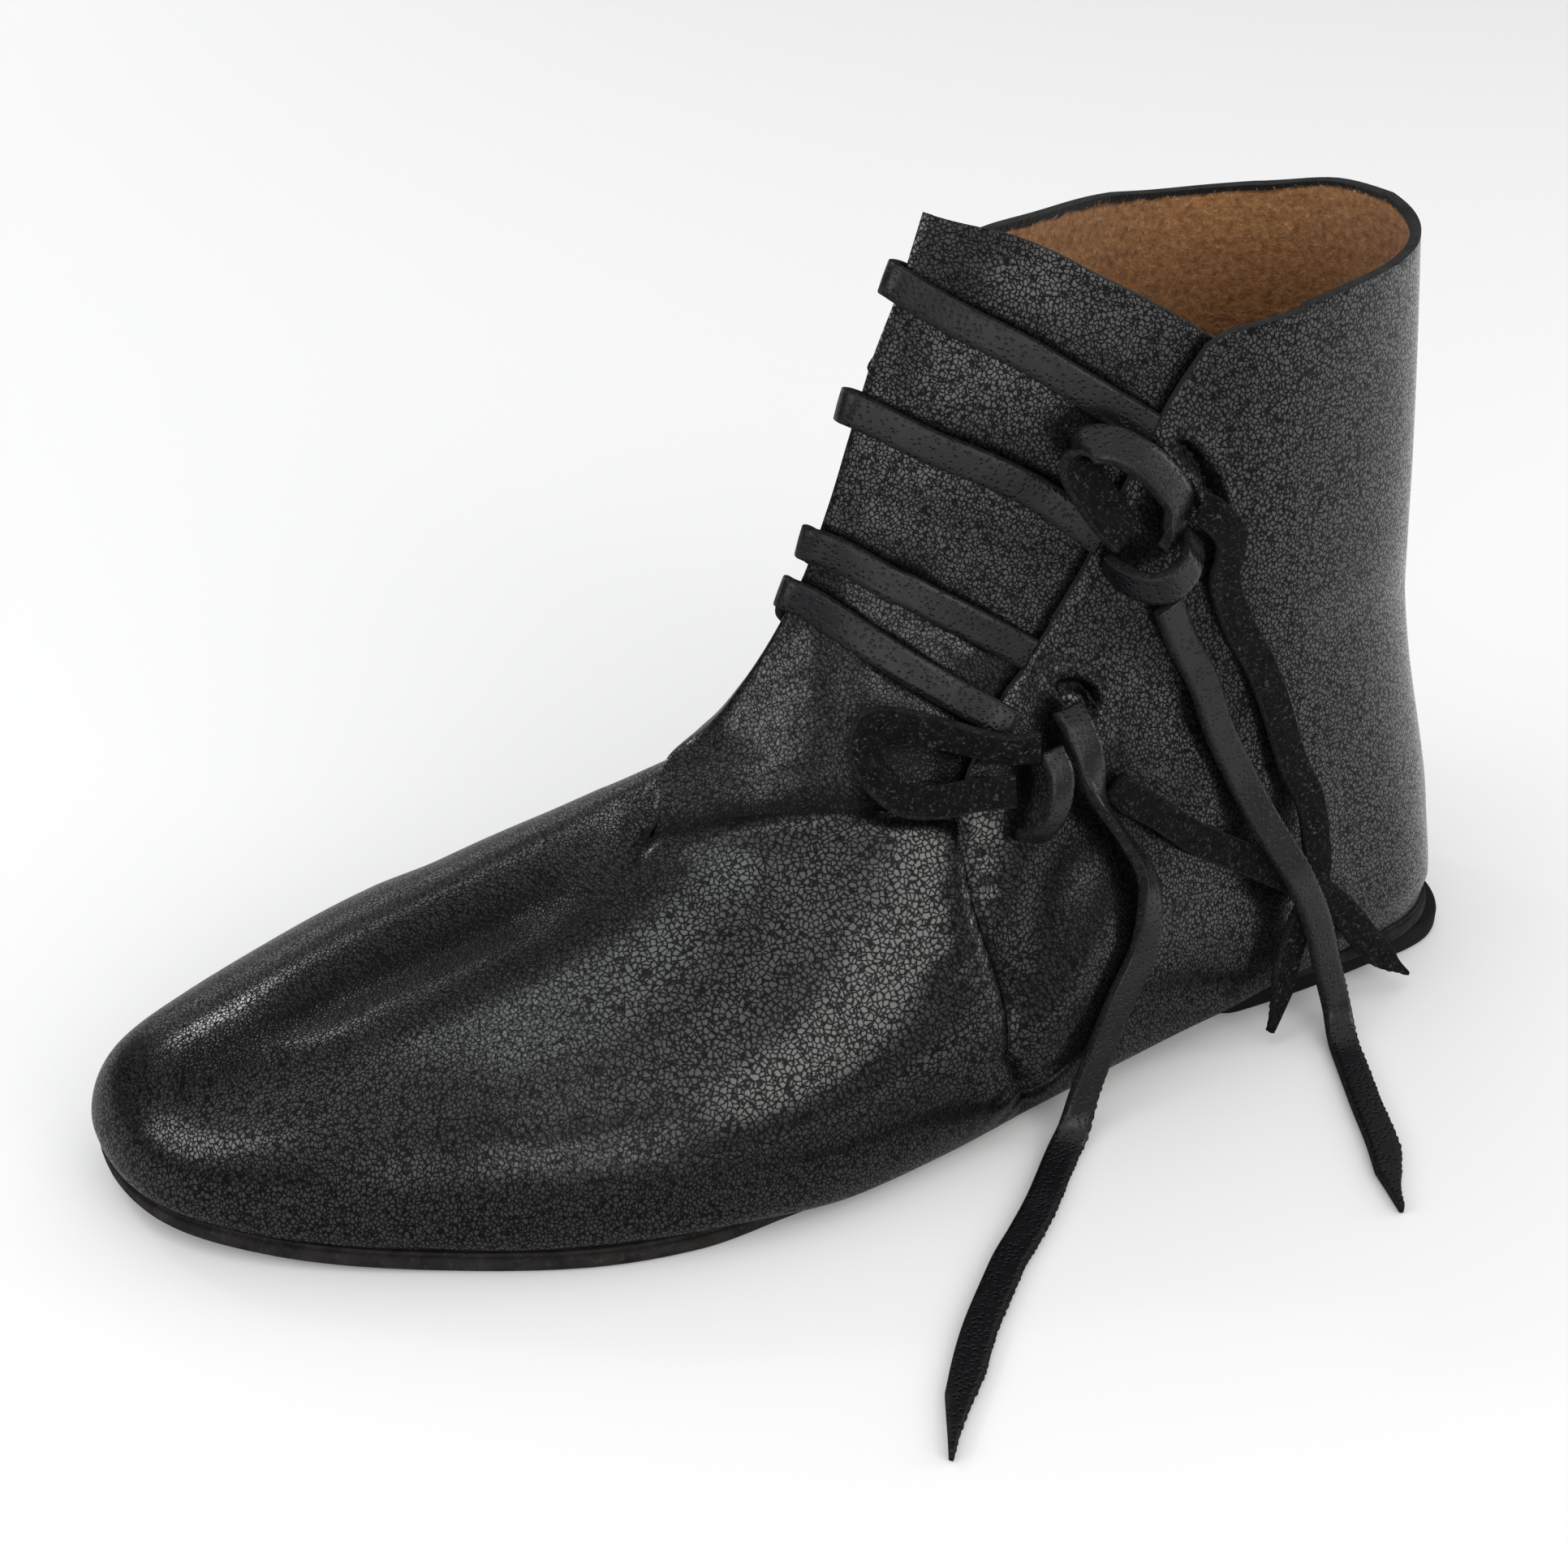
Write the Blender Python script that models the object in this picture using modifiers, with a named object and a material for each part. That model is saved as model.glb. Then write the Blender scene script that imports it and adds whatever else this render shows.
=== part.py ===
# Left ankle shoe of a medieval pattern: a turned leather upper with a front flap,
# tied on its outer side with two leather thongs, on a thin sole with a low heel lift.
# Sizes are in millimetres from the back of the heel and become metres in the mesh.
# +X runs to the toe, +Y to the laced outer side, +Z up from the floor.
import bmesh
import bpy
import numpy as np

# Driving sizes, in millimetres
SHOE_LENGTH = 285.0
BALL_WIDTH = 102.0
FRONT_HEIGHT = 163.0
WALL = 2.0
FLAP_THICKNESS = 1.8
THONG_WIDTH = 6.2
THONG_THICKNESS = 1.8
SOLE_THICKNESS = 4.0
SOLE_LIP = 3.2
SOLE_STEP = 0.8
SOLE_MARGIN = {"x": (8.0, 14.0, 40.0, 75.0, 140.0, 175.0, 215.0, 255.0, 285.0),
               "margin": (1.0, 0.5, -0.5, -1.5, -1.0, 1.2, 1.2, 0.0, -0.8)}
LIFT_MARGIN = {"x": (8.0, 14.0, 24.0, 34.0, 60.0, 69.0, 74.0),
               "margin": (4.0, 3.4, 0.0, -2.4, -3.6, -4.6, -8.0)}
HEEL_RISE = 5.3
HEEL_LIFT_FRONT = 74.0
TOE_SPRING = 5.0
INSOLE_THICKNESS = 1.5
INSOLE_CLEARANCE = 0.8
GAP = 0.3
FOLD_GAP = 0.5
FOLD_CREST = 1.0
BAR_CLEARANCE = 0.5
BAR_CREST = 0.8

# Middle of the shoe's footprint, from the back of the heel and the foot's centre line
CENTRE_X = 146.06
CENTRE_Y = 4.03

# The thong routes are laid out on a shoe of these sizes and follow when it changes
ROUTE_LENGTH = 285.0
ROUTE_WIDTH = 102.0
ROUTE_HEIGHT = 163.0

# Sections of the last, fanned from the toe round the instep to the collar.
# x is a share of the length, y of the ball width, z of the front height, in percent.
SECTION_COLUMNS = ("top_x", "top_y", "top_z", "base_x", "base_y", "base_z",
                   "outer_y", "inner_y", "widest", "top_round", "base_round")
SECTIONS = {
    "toe tip":    (100.0, -16.7, 8.6, 100.0, -16.7, 8.6, -16.7, -16.7, 0.40, 2.0, 2.0),
    "toe":        (97.5, -16.7, 15.3, 98.6, -15.7, 3.7, 2.6, -30.4, 0.38, 2.1, 2.8),
    "toe joint":  (91.2, -14.7, 20.2, 93.0, -11.8, 1.8, 18.6, -38.2, 0.34, 2.1, 4.0),
    "forefoot":   (82.1, -12.7, 25.5, 83.5, -6.9, 1.2, 35.3, -44.1, 0.30, 2.0, 5.0),
    "ball":       (73.0, -10.8, 30.1, 73.0, -2.0, 0.6, 48.0, -46.1, 0.28, 1.9, 5.0),
    "vamp":       (65.6, -8.8, 35.0, 61.8, 1.0, 0.6, 53.9, -41.2, 0.26, 1.8, 5.0),
    "instep":     (59.6, -5.9, 41.1, 50.2, 3.9, 0.6, 52.0, -35.3, 0.24, 1.7, 5.0),
    "throat":     (55.4, -2.9, 50.3, 37.2, 4.9, 1.2, 48.0, -33.3, 0.24, 1.6, 4.5),
    "waist":      (52.3, -1.0, 60.1, 21.8, 5.9, 0.6, 44.1, -32.4, 0.24, 1.5, 4.0),
    "heel seat":  (50.5, 0.0, 69.3, 6.8, 5.9, 0.0, 40.6, -30.4, 0.28, 1.45, 4.6),
    "heel back":  (49.1, 0.0, 77.3, 3.1, 6.9, 14.7, 37.3, -27.5, 0.36, 1.4, 2.7),
    "ankle":      (47.4, -1.0, 85.3, 6.4, 7.8, 40.5, 35.0, -25.5, 0.40, 1.4, 2.3),
    "shaft":      (45.3, -2.0, 92.6, 8.2, 8.8, 66.3, 34.0, -25.5, 0.42, 1.4, 2.2),
    "collar":     (43.3, -3.9, 100.0, 10.3, 8.8, 92.0, 34.0, -25.0, 0.42, 1.4, 2.2),
}
LAST_SECTION = len(SECTIONS) - 1.0

# Edge lines of the leather. "row" counts the sections above, "round" is the share of
# the way round one, from the outer feather line over the instep to the inner one.
SEAM_EDGE = {"round": (0.0, 0.13, 0.19, 0.25, 0.29, 0.334, 0.378, 0.41, 0.434, 0.45, 0.5, 0.6, 0.75, 0.9, 1.0),
             "row": (6.52, 6.56, 6.82, 7.06, 7.42, 7.04, 6.52, 6.06, 5.58, 5.18, 5.2, 5.5, 6.0, 6.4, 6.52)}
COLLAR_EDGE = {"round": (0.0, 0.1, 0.208, 0.274, 0.31, 0.322, 0.55, 0.62, 0.68, 0.77, 0.83, 0.89, 0.95, 1.0),
               "row": (13.14, 13.05, 12.92, 12.72, 12.55, 12.4, 12.5, 12.75, 12.83, 12.89, 12.96, 13.04, 13.12, 13.14)}
SLIT_EDGE = {"share": (0.0, 0.2, 0.39, 0.566, 0.72, 0.908, 1.0),
             "round": (0.29, 0.314, 0.352, 0.368, 0.354, 0.336, 0.322)}
INNER_EDGE = {"share": (0.0, 0.1, 0.25, 0.5, 1.0),
              "round": (0.45, 0.48, 0.52, 0.545, 0.55)}
SLIT_ROUND = 0.29
CORNER_ROUND = 0.45
FEATHER_ROW = 6.52

# The flap: tucked under the outer quarter, folded over the inner one
FLAP_TUCKED = {"share": (0.0, 0.5, 1.0), "round": (0.255, 0.31, 0.285)}
FLAP_FOLDED = {"share": (0.0, 0.12, 0.25, 0.5, 1.0), "round": (0.45, 0.55, 0.60, 0.63, 0.62)}
FLAP_SUNK = {"row": (5.2, 5.6, 6.6, 13.0), "depth": (0.0, 0.5, 3.2, 3.2)}
FLAP_FOOT = {"across": (0.0, 0.18, 0.405, 0.63, 0.795, 0.918, 1.0),
             "row": (7.75, 7.46, 7.08, 6.56, 6.1, 5.62, 5.22)}
FLAP_TOP = {"across": (0.0, 0.107, 0.227, 0.343, 0.666, 0.761, 0.88, 1.0),
            "row": (12.42, 12.64, 12.8, 13.0, 13.0, 12.6, 12.0, 11.2)}

# How finely the leather is divided
TOE_ROWS = 3
VAMP_ROWS = 13
HEEL_ROWS = 15
SHAFT_ROWS = 9
OUTER_COLUMNS = 13
SEAM_COLUMNS = 6
INNER_COLUMNS = 14
FLAP_ROWS = 18
FLAP_COLUMNS = 20
SOLE_STATIONS = 30
LIFT_STATIONS = 14
BAR_STEPS = 22
CORD_STEP = 5.0

# Thong bars across the flap, read from the flap's tucked side to the inner quarter
BARS = {
    "thong_bar_1": {"round": (0.374, 0.406, 0.44, 0.512, 0.57, 0.63, 0.69),
                    "row": (11.86, 11.96, 11.96, 12.1, 12.0, 11.9, 11.85)},
    "thong_bar_2": {"round": (0.395, 0.416, 0.448, 0.508, 0.57, 0.63, 0.69),
                    "row": (10.6, 10.52, 10.42, 10.4, 10.4, 10.4, 10.4)},
    "thong_bar_3": {"round": (0.372, 0.39, 0.42, 0.522, 0.58, 0.64, 0.70),
                    "row": (9.1, 9.0, 8.8, 8.54, 8.5, 8.5, 8.5)},
    "thong_bar_4": {"round": (0.345, 0.378, 0.424, 0.532, 0.58, 0.64, 0.70),
                    "row": (8.24, 8.16, 8.04, 7.88, 7.8, 7.8, 7.8)},
}

# Loose thong ends, point by point: x, y, z, the lean of the face from straight up
# and its turn about the strap's own run
TAILS = {
    "upper_tail_front": (
        (92.0, 33.0, 96.5, 88, 0), (88.6, 33.3, 89.0, 85, 0), (83.9, 35.4, 79.2, 84, 0), (80.2, 37.6, 68.3, 83, 0),
        (75.8, 40.3, 58.0, 81, 0), (71.6, 44.2, 48.5, 80, 0), (66.5, 48.6, 38.5, 80, 0), (61.6, 50.0, 27.2, 84, 0),
        (57.6, 50.2, 15.0, 80, 0), (55.5, 52.0, 6.0, 55, 0), (57.5, 57.5, 1.8, 15, 0), (61.0, 65.0, 1.3, 0, 0),
        (66.0, 75.5, 1.3, 0, 0), (71.0, 86.0, 1.3, 0, 0), (79.0, 101.0, 1.3, 0, 0)),
    "upper_tail_back": (
        (88.2, 34.4, 115.6, 88, 0), (86.4, 36.5, 114.4, 88, 0), (83.4, 37.6, 110.6, 88, 0), (81.9, 36.4, 105.4, 88, 0),
        (81.3, 35.1, 99.5, 88, 0), (77.4, 36.3, 89.2, 87, 0), (71.9, 38.0, 78.9, 86, 0), (65.0, 40.6, 60.2, 85, 0),
        (60.9, 42.6, 50.5, 84, 0), (60.2, 45.5, 40.2, 82, 0), (60.9, 46.6, 32.0, 82, 0), (64.0, 46.7, 22.0, 86, 0),
        (67.0, 48.0, 12.0, 80, 0), (70.0, 49.8, 3.5, 60, 0)),
    "lower_tail_heel": (
        (102.8, 36.2, 63.4, 70, 0), (100.0, 37.3, 60.1, 70, 0), (94.0, 38.9, 55.9, 72, 0), (86.1, 41.0, 49.1, 73, 0),
        (76.8, 42.5, 43.2, 76, 0), (69.1, 43.6, 38.1, 79, 0), (58.4, 44.3, 30.9, 83, 0), (50.0, 44.8, 22.5, 86, 0),
        (44.0, 45.5, 14.5, 85, 0), (38.5, 46.5, 7.5, 75, 0), (33.5, 47.5, 3.5, 60, 0)),
    "lower_tail_floor": (
        (111.4, 31.4, 79.6, 70, 0), (110.8, 34.2, 77.2, 70, 0), (110.0, 36.6, 73.2, 72, 0), (109.6, 38.2, 69.0, 76, 15),
        (108.9, 39.4, 65.0, 72, 45), (107.2, 40.4, 60.8, 68, 65), (104.2, 41.8, 55.4, 69, 70),
        (100.6, 43.6, 48.8, 70, 55), (99.2, 45.0, 42.1, 71, 25), (100.9, 47.2, 33.1, 74, 0),
        (106.9, 49.5, 25.2, 79, 0), (112.0, 51.4, 17.0, 82, 0), (116.5, 53.2, 9.0, 70, 0), (120.5, 56.0, 3.0, 35, 0),
        (126.0, 60.0, 1.4, 5, 0), (135.0, 68.0, 1.3, 0, 0), (143.5, 74.5, 1.3, 0, 0), (152.0, 81.0, 1.3, 0, 0),
        (167.0, 95.0, 1.3, 0, 0), (182.0, 113.0, 1.3, 0, 0)),
}

# Loops of the half bows and the wraps of their knots, by the two edges of the strap
LOOPS = {
    "upper_loop": (
        ((94.2, 32.8, 109.4), (97.6, 36.2, 109.6)), ((90.6, 33.0, 113.4), (96.1, 35.5, 112.2)),
        ((90.0, 33.0, 118.0), (95.6, 35.0, 117.0)), ((92.4, 32.2, 122.4), (97.6, 34.6, 120.2)),
        ((96.7, 30.6, 127.3), (101.6, 33.4, 124.4)), ((102.5, 28.4, 130.8), (107.4, 31.4, 127.8)),
        ((108.6, 26.8, 131.0), (113.0, 29.9, 128.0)), ((110.6, 26.6, 127.6), (114.6, 30.2, 124.6)),
        ((107.4, 28.6, 122.0), (112.0, 31.2, 119.4)), ((104.6, 30.2, 117.8), (109.2, 32.4, 114.8)),
        ((101.4, 31.4, 113.6), (105.6, 33.8, 110.6))),
    "upper_knot": (
        ((103.0, 27.5, 107.2), (101.6, 27.7, 102.6)), ((102.4, 30.6, 106.4), (100.8, 30.8, 101.0)),
        ((100.6, 33.4, 105.4), (98.6, 33.8, 99.8)), ((98.0, 35.6, 105.2), (95.8, 36.0, 99.3)),
        ((95.0, 36.9, 106.4), (92.4, 37.0, 100.2)), ((92.2, 36.2, 108.4), (88.9, 36.6, 103.0)),
        ((90.2, 33.8, 110.4), (86.6, 34.4, 105.2)), ((89.4, 31.6, 111.4), (85.4, 32.4, 106.4))),
    "lower_loop": (
        ((118.6, 33.6, 74.4), (119.6, 36.4, 79.4)), ((124.0, 32.6, 74.0), (125.0, 34.6, 79.2)),
        ((131.0, 30.0, 76.0), (131.6, 32.4, 81.4)), ((140.4, 25.4, 79.6), (142.6, 26.6, 85.4)),
        ((147.4, 20.8, 80.6), (148.6, 23.8, 85.4)), ((151.4, 19.2, 79.2), (151.4, 23.4, 83.2)),
        ((153.2, 19.8, 76.2), (153.0, 24.8, 79.4)), ((153.3, 22.2, 73.3), (153.2, 27.4, 75.8)),
        ((151.3, 26.0, 71.4), (151.4, 31.2, 72.2)), ((146.3, 29.0, 70.0), (147.2, 34.8, 68.8)),
        ((140.0, 30.4, 68.9), (140.6, 36.6, 67.4)), ((133.0, 30.2, 68.8), (133.6, 36.6, 66.8)),
        ((125.4, 31.4, 68.2), (126.2, 37.8, 66.2))),
    "lower_knot": (
        ((115.8, 34.6, 76.2), (119.2, 36.8, 73.4)), ((114.6, 38.0, 72.0), (119.4, 39.0, 70.2)),
        ((115.4, 40.0, 66.6), (120.6, 40.6, 66.4)), ((117.4, 40.4, 62.0), (122.6, 41.0, 63.4)),
        ((119.4, 39.0, 58.4), (124.0, 39.4, 61.0)),
        ((120.2, 36.8, 57.0), (124.6, 37.0, 60.0))),
}

COLOURS = {
    "upper": (0.018, 0.017, 0.018), "front_flap": (0.02, 0.019, 0.02), "outsole": (0.012, 0.012, 0.012),
    "heel_lift": (0.012, 0.012, 0.012), "insole": (0.25, 0.12, 0.045), "thong": (0.035, 0.031, 0.034),
}


def clear_scene():
    for thing in list(bpy.data.objects):
        bpy.data.objects.remove(thing, do_unlink=True)


def lookup(table, key, at, value):
    return np.interp(at, table[key], table[value])


def smoothstep(low, high, at):
    share = np.clip((at - low) / (high - low), 0.0, 1.0)
    return share * share * (3.0 - 2.0 * share)


def through(points, at):
    # Smooth curve through the points, read at fractional point numbers
    points = np.asarray(points, float)
    ends = np.vstack([2 * points[0] - points[1], points, 2 * points[-1] - points[-2]])
    return blend(ends, at)


def blend(ends, at):
    at = np.asarray(at, float)
    first = np.clip(np.floor(at).astype(int), 0, len(ends) - 4)
    part = (at - first)[..., None]
    before, here, after, beyond = (ends[first + step] for step in range(4))
    return 0.5 * (2 * here + (after - before) * part
                  + (2 * before - 5 * here + 4 * after - beyond) * part ** 2
                  + (3 * here - before - 3 * after + beyond) * part ** 3)


def feather_height(x):
    # Height of the line where the upper meets the sole
    toe = np.clip((x - 0.79 * SHOE_LENGTH) / (0.21 * SHOE_LENGTH), 0.0, 1.0)
    heel = smoothstep(0.0, 1.0, (0.49 * SHOE_LENGTH - x) / (0.228 * SHOE_LENGTH))
    return SOLE_THICKNESS + GAP + TOE_SPRING * toe ** 2 + HEEL_RISE * heel


def section_ends():
    size = np.array([SHOE_LENGTH, BALL_WIDTH, FRONT_HEIGHT] * 2 + [BALL_WIDTH] * 2 + [100.0] * 3) / 100.0
    rows = np.array(list(SECTIONS.values())) * size
    under = rows[1].copy()
    under[:3], under[3:6] = rows[1][3:6], rows[1][:3]
    under[6], under[7] = rows[1][7], rows[1][6]
    return np.vstack([under, rows, 2 * rows[-1] - rows[-2]])


SECTION_ENDS = section_ends()


def skin(row, around):
    # Outer face of the upper: two rounded halves per section, cut off at the feather line
    row, around = np.broadcast_arrays(np.asarray(row, float), np.asarray(around, float))
    values = dict(zip(SECTION_COLUMNS, np.moveaxis(blend(SECTION_ENDS, row), -1, 0)))
    outer = around <= 0.5
    climb = np.where(outer, 2 * around, 2 - 2 * around)
    height = np.maximum(values["top_z"] - values["base_z"], 1e-6)
    start = np.clip((feather_height(values["base_x"]) - values["base_z"]) / height, 0.0, values["widest"] * 0.98)
    first_angle = np.arccos(np.clip(1 - start / values["widest"], 0.0, 1.0) ** (values["base_round"] / 2))
    angle = first_angle + (np.pi - first_angle) * climb
    low = angle < np.pi / 2
    power = 2 / np.where(low, values["base_round"], values["top_round"])
    rise = np.abs(np.cos(angle)) ** power
    share = np.where(low, values["widest"] * (1 - rise), values["widest"] + (1 - values["widest"]) * rise)
    middle = values["base_y"] + share * (values["top_y"] - values["base_y"])
    side = np.where(outer, values["outer_y"], values["inner_y"])
    y = middle + (side - middle) * np.abs(np.sin(angle)) ** power
    x = values["base_x"] + share * (values["top_x"] - values["base_x"])
    z = values["base_z"] + share * (values["top_z"] - values["base_z"])
    return np.stack([x, y, z], -1)


def unit(vectors):
    return vectors / np.maximum(np.linalg.norm(vectors, axis=-1, keepdims=True), 1e-9)


def outward(row, around):
    step_row, step_round = 0.02, 0.004
    low_round = np.clip(around - step_round, 0.0, 1.0)
    high_round = np.clip(around + step_round, 0.0, 1.0)
    along = skin(np.minimum(row + step_row, LAST_SECTION), around) - skin(row - step_row, around)
    across = skin(row, high_round) - skin(row, low_round)
    return unit(np.cross(along, across))


def closing_row(low, high):
    # Row at which the base of a section passes the feather line
    rows = np.linspace(low, high, 2001)
    base = blend(SECTION_ENDS, rows)
    above = base[:, 5] - feather_height(base[:, 3])
    order = np.argsort(above)
    return float(np.interp(0.0, above[order], rows[order]))


TOE_CLOSES = closing_row(0.05, 1.0)
HEEL_CLOSES = closing_row(9.0, 10.0)


def place(points):
    return (np.asarray(points, float) - (CENTRE_X, CENTRE_Y, 0.0)) * 0.001


def on_shoe(points):
    scale = (SHOE_LENGTH / ROUTE_LENGTH, BALL_WIDTH / ROUTE_WIDTH, FRONT_HEIGHT / ROUTE_HEIGHT)
    return np.asarray(points, float) * scale


def material(name, colour):
    made = bpy.data.materials.new(name)
    made.use_nodes = True
    shader = made.node_tree.nodes["Principled BSDF"]
    shader.inputs["Base Color"].default_value = (*colour, 1.0)
    shader.inputs["Roughness"].default_value = 0.6
    made.diffuse_color = (*colour, 1.0)
    return made


def add_mesh(name, points, faces, collection, colour_name, weld=1e-6):
    mesh = bpy.data.meshes.new(name)
    mesh.from_pydata([tuple(point) for point in place(points).tolist()], [], faces)
    shape = bmesh.new()
    shape.from_mesh(mesh)
    bmesh.ops.remove_doubles(shape, verts=shape.verts, dist=weld)
    loose = [vertex for vertex in shape.verts if not vertex.link_faces]
    bmesh.ops.delete(shape, geom=loose, context="VERTS")
    shape.to_mesh(mesh)
    shape.free()
    made = bpy.data.objects.new(name, mesh)
    collection.objects.link(made)
    mesh.materials.append(material(name, COLOURS[colour_name]))
    return made


def thicken(thing, thickness, offset):
    shell = thing.modifiers.new("Leather", "SOLIDIFY")
    shell.thickness = thickness * 0.001
    shell.offset = offset
    shell.use_even_offset = False
    shell.use_rim = True


def grid_faces(rows, columns, keep=lambda row, column: True):
    return [(row * columns + column, (row + 1) * columns + column,
             (row + 1) * columns + column + 1, row * columns + column + 1)
            for row in range(rows - 1) for column in range(columns - 1) if keep(row, column)]


def leather_rows():
    # Rows below the seams, then shares of the way from the seams to the collar
    tip = np.linspace(0.0, TOE_CLOSES, TOE_ROWS + 1)[:-1]
    spread = np.linspace(0.0, 1.0, VAMP_ROWS + 1) ** 1.35
    below = np.concatenate([tip, TOE_CLOSES + (FEATHER_ROW - TOE_CLOSES) * spread])
    heel_share = (HEEL_CLOSES - FEATHER_ROW) / (LAST_SECTION - FEATHER_ROW)
    seat = heel_share * (1 - (1 - np.linspace(0.0, 1.0, HEEL_ROWS + 1)) ** 1.7)
    shaft = heel_share + (1 - heel_share) * np.linspace(0.0, 1.0, SHAFT_ROWS + 1)[1:]
    return below, np.concatenate([seat[1:], shaft])


def leather_grid():
    below, above = leather_rows()
    shares = np.concatenate([np.zeros(len(below)), above])
    slit = np.where(shares > 0, lookup(SLIT_EDGE, "share", shares, "round"), SLIT_ROUND)
    inner = np.where(shares > 0, lookup(INNER_EDGE, "share", shares, "round"), CORNER_ROUND)
    outer_part = np.linspace(0.0, 1.0, OUTER_COLUMNS + 1)[:-1]
    seam_part = np.linspace(0.0, 1.0, SEAM_COLUMNS + 1)
    inner_part = np.linspace(0.0, 1.0, INNER_COLUMNS + 1)[1:]
    rounds = np.hstack([slit[:, None] * outer_part, slit[:, None] + (inner - slit)[:, None] * seam_part,
                        inner[:, None] + (1 - inner)[:, None] * inner_part])
    base_rounds = np.concatenate([SLIT_ROUND * outer_part, SLIT_ROUND + (CORNER_ROUND - SLIT_ROUND) * seam_part,
                                  CORNER_ROUND + (1 - CORNER_ROUND) * inner_part])
    seam = lookup(SEAM_EDGE, "round", base_rounds, "row")
    collar = lookup(COLLAR_EDGE, "round", rounds[-1], "row")
    grown = (below / FEATHER_ROW)[:, None]
    lower = below[:, None] + (seam - FEATHER_ROW) * grown ** 2.5
    upper = seam + (collar - seam) * above[:, None]
    return np.vstack([lower, upper]), rounds, len(below) - 1


def flap_lift(row, around):
    # Height of the flap's face over the upper's: under the outer quarter, over the inner one
    share = np.clip((row - 7.42) / (12.4 - 7.42), 0.0, 1.0)
    slit = lookup(SLIT_EDGE, "share", share, "round")
    inner = lookup(INNER_EDGE, "share", np.clip((row - 5.18) / (12.1 - 5.18), 0.0, 1.0), "round")
    rise = smoothstep(slit + 0.012, inner - 0.025, around)
    low = -(WALL + FOLD_GAP)
    high = FLAP_THICKNESS + FOLD_GAP - lookup(FLAP_SUNK, "row", row, "depth")
    crest = FOLD_CREST * np.exp(-((around - 0.5) / 0.026) ** 2)
    return low + (high - low) * rise + crest


def quarter_sink(row, around):
    # The inner quarter lies deeper where the flap folds over it
    beside = smoothstep(0.44, 0.46, around) * (1 - smoothstep(0.64, 0.74, around))
    return -beside * lookup(FLAP_SUNK, "row", row, "depth")


def make_upper(collection):
    rows, rounds, seam_row = leather_grid()
    points = skin(rows, rounds) + quarter_sink(rows, rounds)[..., None] * outward(rows, rounds)
    window = range(OUTER_COLUMNS, OUTER_COLUMNS + SEAM_COLUMNS)
    faces = grid_faces(*rows.shape, keep=lambda row, column: not (row >= seam_row and column in window))
    upper = add_mesh("upper", points.reshape(-1, 3), faces, collection, "upper", weld=2e-5)
    thicken(upper, WALL, -1.0)


def make_flap(collection):
    share, across = np.meshgrid(np.linspace(0, 1, FLAP_ROWS), np.linspace(0, 1, FLAP_COLUMNS), indexing="ij")
    tucked = lookup(FLAP_TUCKED, "share", share, "round")
    folded = lookup(FLAP_FOLDED, "share", share, "round")
    around = tucked + (folded - tucked) * across
    foot = lookup(FLAP_FOOT, "across", across, "row")
    top = lookup(FLAP_TOP, "across", across, "row")
    row = foot + (top - foot) * share
    points = skin(row, around) + flap_lift(row, around)[..., None] * outward(row, around)
    flap = add_mesh("front_flap", points.reshape(-1, 3), grid_faces(*row.shape), collection, "front_flap")
    thicken(flap, FLAP_THICKNESS, -1.0)


def footprint(stations, margins, inset):
    # Outer and inner edge of the sole's plan, beside the feather line by its margin
    edges = []
    for around, turn in ((0.0, 1.0), (1.0, -1.0)):
        line = skin(stations, np.full(len(stations), around))[:, :2]
        ends_apart = line[:, 1] - skin(stations, np.full(len(stations), 1.0 - around))[:, 1]
        along = unit(np.gradient(line, axis=0))
        if abs(ends_apart[0]) < 1.0:
            along[0] = (0.0, turn)
        if abs(ends_apart[-1]) < 1.0:
            along[-1] = (0.0, -turn)
        side = turn * np.stack([along[:, 1], -along[:, 0]], -1)
        margin = lookup(margins, "x", line[:, 0], "margin") - inset
        edges.append(line + margin[:, None] * side)
    return edges


def ladder(name, stations, margins, profile, collection, colour_name):
    # profile rows: inset from the plan's edge, height as a function of x
    columns = []
    for inset, height in profile:
        outer, inner = footprint(stations, margins, inset)
        columns.append((np.column_stack([outer, height(outer[:, 0])]), np.column_stack([inner, height(inner[:, 0])])))
    ring = [outer for outer, inner in columns] + [inner for outer, inner in reversed(columns)]
    points = np.stack(ring, 1)
    count, width = points.shape[:2]
    faces = [(row * width + column, row * width + (column + 1) % width,
              (row + 1) * width + (column + 1) % width, (row + 1) * width + column)
             for row in range(count - 1) for column in range(width)]
    made = add_mesh(name, points.reshape(-1, 3), faces, collection, colour_name, weld=1e-5)
    close_ends(made)
    return made


def close_ends(thing):
    shape = bmesh.new()
    shape.from_mesh(thing.data)
    open_edges = [edge for edge in shape.edges if edge.is_boundary]
    if open_edges:
        bmesh.ops.holes_fill(shape, edges=open_edges, sides=0)
    bmesh.ops.recalc_face_normals(shape, faces=shape.faces)
    shape.to_mesh(thing.data)
    shape.free()


def foot_stations(count, first, last):
    share = np.linspace(0.0, 1.0, count)
    eased = 0.5 - 0.5 * np.cos(np.pi * share)
    return first + (last - first) * (0.35 * share + 0.65 * eased)


def make_sole(collection):
    stations = foot_stations(SOLE_STATIONS, TOE_CLOSES, HEEL_CLOSES)

    def top(x):
        return feather_height(x) - GAP

    def step(x):
        return top(x) - SOLE_THICKNESS + SOLE_LIP

    def bottom(x):
        return top(x) - SOLE_THICKNESS

    profile = ((0.8, bottom), (0.0, lambda x: bottom(x) + 0.8), (0.0, step), (SOLE_STEP, step), (SOLE_STEP, top))
    ladder("outsole", stations, SOLE_MARGIN, profile, collection, "outsole")


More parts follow.
